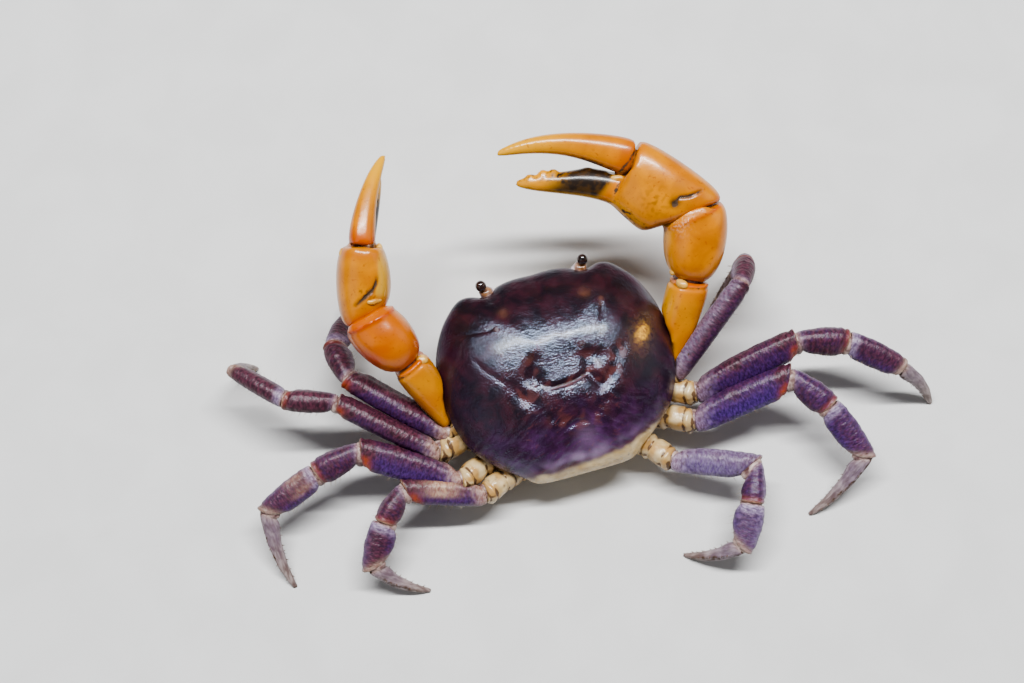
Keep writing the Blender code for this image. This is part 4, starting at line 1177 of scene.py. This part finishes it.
# %% Stalks and beads
EYE_VOXEL = 0.09 * MM
stalk_finish = lay_up(
    "eyestalk", (1500, 4, (0.46, 0.36, 0.42), (0.74, 0.66, 0.62)),
    [("neck", (1500, 4, (0.10, 0.04, 0.014), (0.30, 0.13, 0.045)))],
    dirt=0.1, rough=0.25, wrinkles=0.15, grain=0.1, scale=1800, shine=(0.5, 0.12))
eye_finish = lay_up("dark eye", (1100, 3, (0.006, 0.003, 0.003), (0.035, 0.012, 0.008)),
                    dirt=0.0, rough=0.16, wrinkles=0.0, grain=0.05, scale=1800, shine=(1.0, 0.03))
for side in SIDES:
    eye = f"{side}_eye"
    middle = np.mean(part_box(eye), axis=0)
    root = furthest(f"{side}_eyestalk", middle)
    stalk = shell(f"{side}_eyestalk", f"{side}_eyestalk_shell", EYE_VOXEL, 6, rounding=1, swell=0.02 * MM)
    place, length = lay_out(stalk, root, middle)
    share = place[:, 0] / length
    pinch(stalk, root, middle, 0.25 + 0.75 * hump(share, 0.1, 0.42))
    lean = from_body((-0.9 if side == "right" else 1.3, -0.3, 0)) - from_body((0, 0, 0))
    set_points(stalk, points(stalk) + np.outer(np.clip(1.05 - share, 0, 1) ** 1.3, lean))
    paint(stalk, "neck", step_up(share + 0.25 * (cloudy(place, 1.5, seed=2.0) - 0.5), 0.5, 0.75))
    finish(stalk, stalk_finish, "eye", f"{side}_eyestalk")
    bead = shell(eye, f"{eye}_shell", EYE_VOXEL, 4, swell=0.01 * MM)
    pinch(bead, root, middle, -0.07)
    finish(bead, eye_finish, "eye", eye)
print("eyes", len(SIDES))

# %% [markdown]
# ## Knobs, spines, hairs and feelers
# The last pieces are small. Pale knobs hold the claws' hinges, short dark
# spines stand in rows along the last segment of each leg, and stiff pale
# hairs grow along the front and rear edges of the others. One spine is
# modelled from a cone, and each copy is stretched, turned and set into the
# shell that carries it.

# %% Pale knobs at the claws' hinges
# Each: the piece that carries it, a place near its skin in mm, its long direction, and radii in mm
KNOBS = {
    "right": [("merus", (17.0, 5.8, 18.8), (0.4, -0.8, 0.3), (1.1, 0.75, 0.7)),
              ("carpus", (15.9, 7.8, 18.6), (0.5, 0.8, 0.2), (0.8, 0.55, 0.5)),
              ("palm", (11.2, 21.7, 27.8), (0.9, -0.3, 0.45), (1.4, 0.6, 0.65))],
    "left": [("palm", (-25.8, 21.0, 26.6), (0.2, 0.9, 0.1), (1.1, 0.6, 0.75)),
             ("palm", (-31.4, 21.3, 26.8), (0.1, 0.9, 0.1), (1.0, 0.6, 0.75)),
             ("merus", (-23.2, 6.2, 18.4), (0.7, -0.5, 0.1), (1.0, 0.7, 0.6)),
             ("palm", (-28.3, 13.3, 25.0), (0.9, 0.1, -0.4), (1.2, 0.5, 0.45))],
}
# The share of its smallest radius that a knob is sunk in the skin
SUNK = 0.62

knob_finish = lay_up("cream knob", (700, 4, (0.48, 0.22, 0.025), (0.66, 0.42, 0.12)),
                     dirt=0.22, rough=0.28, wrinkles=0.3, grain=0.15, shine=(0.2, 0.2))
for side, knobs in KNOBS.items():
    pieces = []
    for part, near, way, radii in knobs:
        carrier = bpy.data.objects[f"{side}_claw_{part}_shell"]
        _, middle, facing, _ = carrier.closest_point_on_mesh(Vector(np.array(near) * MM))
        middle = np.array(middle) - np.array(facing) * (SUNK * radii[2] * MM)
        way = unit(np.array(way))
        across = unit(np.cross(way, (0, 0, 1.0)))
        knob = ball("knob", middle, np.array([way, across, np.cross(way, across)]).T,
                    np.array(radii) * MM, 20, 12)
        push_out(knob, 0.30 * (cloudy(points(knob) / MM, 1.1, seed=41.0) - 0.5))
        pieces.append(knob)
    finish(join(pieces, f"{side}_claw_knobs"), knob_finish, "claw_shell")
print("knobs", sum(len(knobs) for knobs in KNOBS.values()))

# %% One spine, and copies of it


def spine(name):
    """A slender pointed cone, 1 long and 1 wide, a little bent, standing on the origin."""
    bpy.ops.object.select_all(action="DESELECT")
    bpy.ops.mesh.primitive_cone_add(vertices=6, radius1=0.5, radius2=0.06, depth=1.0,
                                    location=(0, 0, 0.5))
    piece = bpy.context.object
    piece.name = name
    apply_place(piece)
    bpy.ops.object.mode_set(mode="EDIT")
    bpy.ops.mesh.select_all(action="SELECT")
    bpy.ops.mesh.subdivide(number_cuts=1)
    bpy.ops.object.mode_set(mode="OBJECT")
    where = points(piece)
    where[:, 0] += 0.5 * where[:, 2] ** 2
    set_points(piece, where)
    for face in piece.data.polygons:
        face.use_smooth = True
    return piece


def set_spines(spots, name, material, slot):
    """Copy the spine to each (root, direction, length, width) and join the copies."""
    pieces = []
    for root, way, length, width in spots:
        copy = bpy.data.objects.new(name, model.data.copy())
        bpy.context.scene.collection.objects.link(copy)
        turn = Vector(way).to_track_quat("Z", "Y").to_matrix().to_4x4()
        size = Matrix.Diagonal((width, width, length, 1))
        copy.data.transform(Matrix.Translation(root) @ turn @ size)
        pieces.append(copy)
    finish(join(pieces, name), material, slot)


spine_finish = lay_up("dark spine", (1200, 3, (0.05, 0.022, 0.012), (0.16, 0.08, 0.04)),
                      dirt=0.1, rough=0.4, wrinkles=0.1, grain=0.1, shine=(0.2, 0.2))
hair_finish = lay_up("pale hair", (900, 3, (0.20, 0.12, 0.06), (0.48, 0.36, 0.24)),
                     dirt=0.0, rough=0.5, wrinkles=0.0, grain=0.1)
model = spine("spine_model")

# %% Rows of spines and hairs on the legs
chance = np.random.default_rng(7)
# Where rows stand round a segment: how far forward and how far up
SPINE_WAYS = [(1, 0.25), (-1, 0.25), (0.7, -0.7), (-0.7, -0.7)]
HAIR_WAYS = [(-1, -0.1), (-0.8, -0.6), (1, -0.2)]
# Hairs in a row, and the shares of the segment where the row starts and ends
HAIR_ROWS = {"carpus": (6, (0.35, 0.92)), "propodus": (9, (0.15, 0.95)), "merus": (8, (0.3, 0.95))}
SPINE_SLIMNESS, HAIR_WIDTH = 0.4, 0.055 * MM


def rows_on(leg, part, ways, count, stretch, low, high):
    """Roots, directions and lengths along lines on a segment, found by casting rays at its shell."""
    piece = bpy.data.objects[f"{leg}_{part}_shell"]
    skin = BVHTree.FromPolygons([v.co for v in piece.data.vertices],
                                [tuple(p.vertices) for p in piece.data.polygons])
    start, end = span(leg, part)
    frame = segment_frame(start, end)
    rows = []
    for forward, up in ways:
        way = unit(hand(leg) * forward * frame[1] + up * frame[2])
        for share in np.linspace(*stretch, count) + chance.uniform(-0.02, 0.02, count):
            middle = start + (end - start) * share
            hit = skin.ray_cast(Vector(middle + way * 6 * MM), Vector(-way))[0]
            if hit is None:
                continue
            leaning = unit(way + 0.55 * frame[0] + chance.uniform(-0.15, 0.15, 3))
            size = chance.uniform(low, high) * MM
            rows.append((Vector(np.array(hit) - leaning * 0.08 * MM), leaning, size))
    return rows


for leg in LEGS:
    rows = rows_on(leg, "dactyl", SPINE_WAYS, 7, (0.22, 0.86), 0.32, 0.5)
    set_spines([(*row, row[2] * SPINE_SLIMNESS) for row in rows],
               f"{leg}_dactyl_spines", spine_finish, "leg_shell")
    rows = []
    for part, (count, stretch) in HAIR_ROWS.items():
        rows += rows_on(leg, part, HAIR_WAYS, count, stretch, 0.55, 1.15)
    set_spines([(*row, HAIR_WIDTH) for row in rows], f"{leg}_hairs", hair_finish, "leg_shell")

# %% Feelers under the front edge
# Each: root and a point on its way in the body's frame, for the right side, length and width in mm
FEELERS = [((3.6, 14.0, 0.8), (4.6, 15.6, -1.2), 2.4, 0.42),
           ((1.4, 13.8, 0.6), (1.9, 15.0, -1.0), 1.6, 0.6)]
spots = []
for mirror in ((-1, 1, 1), (1, 1, 1)):
    for root, point, length, width in FEELERS:
        root = from_body(np.multiply(root, mirror))
        spots.append((Vector(root), from_body(np.multiply(point, mirror)) - root, length * MM, width * MM))
set_spines(spots, "feelers", bone_finish, "pale_shell")
bpy.data.objects.remove(model, do_unlink=True)
small = [o for o in bpy.data.objects if o.name.endswith(("_spines", "_hairs", "feelers"))]
print("small pieces", len(small))

# %% [markdown]
# ## Camera, light and floor
# The photograph was taken from high behind the crab, a little to its left, so
# the camera stands there. The real crab stood in hard sun. Here one long,
# narrow lamp almost overhead keeps its long highlight across the shell, and
# two weaker ones and a pale sky soften the shadows.

# %% Camera at the photograph's angle
PHOTO_SIZE = (1024, 683)
PHOTO_TARGET = (558, 365)
CAMERA_TURN, CAMERA_RISE, CAMERA_DISTANCE = math.radians(-16), math.radians(70), 260 * MM
CAMERA_LENS, CAMERA_SENSOR = 60, 36

low, high = (Vector(corner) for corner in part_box("carapace"))
aim = (low + high) / 2 + Vector((0, 0.55, 1.1)) * MM
back = Vector((math.sin(CAMERA_TURN) * math.cos(CAMERA_RISE),
               -math.cos(CAMERA_TURN) * math.cos(CAMERA_RISE), math.sin(CAMERA_RISE)))
right = Vector((math.cos(CAMERA_TURN), math.sin(CAMERA_TURN), 0))
up = back.cross(right)
pixels_per_slope = CAMERA_LENS / CAMERA_SENSOR * PHOTO_SIZE[0]
off_right = (PHOTO_TARGET[0] - PHOTO_SIZE[0] / 2) / pixels_per_slope
off_up = (PHOTO_SIZE[1] / 2 - PHOTO_TARGET[1]) / pixels_per_slope
camera = bpy.data.objects.new("camera", bpy.data.cameras.new("camera"))
bpy.context.scene.collection.objects.link(camera)
camera.data.lens, camera.data.sensor_width = CAMERA_LENS, CAMERA_SENSOR
camera.data.clip_start = 10 * MM
camera.location = aim + (back - right * off_right - up * off_up) * CAMERA_DISTANCE
camera.rotation_euler = Matrix((right, up, back)).transposed().to_euler()
bpy.context.scene.camera = camera
print("camera at", [round(c / MM, 1) for c in camera.location], "mm")

# %% Floor
bpy.ops.mesh.primitive_grid_add(x_subdivisions=8, y_subdivisions=8, size=3000 * MM)
floor = bpy.context.object
floor.name = "floor"
floor_finish, tree, shader = start_finish("pale floor", specular=0.2)
place = add(tree, "ShaderNodeTexCoord").outputs["Object"]
paper = colour_of(tree, place, (90, 3, (0.60, 0.59, 0.57), (0.63, 0.62, 0.60)))
tree.links.new(paper, shader.inputs["Base Color"])
shader.inputs["Roughness"].default_value = 0.75
floor.data.materials.append(floor_finish)

# %% Lamps and sky


def lamp(name, direction, distance, size, energy, colour):
    """Hang an oblong lamp in a direction from the crab, facing it."""
    light = bpy.data.lights.new(name, "AREA")
    light.shape = "RECTANGLE"
    light.size, light.size_y = size
    light.energy, light.color = energy, colour
    holder = bpy.data.objects.new(name, light)
    bpy.context.scene.collection.objects.link(holder)
    direction = Vector(direction).normalized()
    holder.location = aim + direction * distance
    holder.rotation_euler = direction.to_track_quat("Z", "Y").to_euler()


lamp("key", (0.04, 0.17, 0.98), 0.55, (0.52, 0.035), 6.4, (0.95, 0.97, 1.0))
lamp("fill", (-0.8, -0.5, 0.6), 0.7, (0.5, 0.5), 0.5, (0.92, 0.95, 1.0))
lamp("edge", (0.9, -0.2, 0.45), 0.7, (0.4, 0.4), 0.4, (1.0, 0.96, 0.92))
sky = bpy.data.worlds.new("pale sky")
sky.use_nodes = True
background = sky.node_tree.nodes["Background"]
background.inputs["Color"].default_value = (0.9, 0.94, 1.0, 1.0)
background.inputs["Strength"].default_value = 0.16
bpy.context.scene.world = sky
bpy.context.scene.view_settings.look = "AgX - Medium High Contrast"

# %% Finish
import json
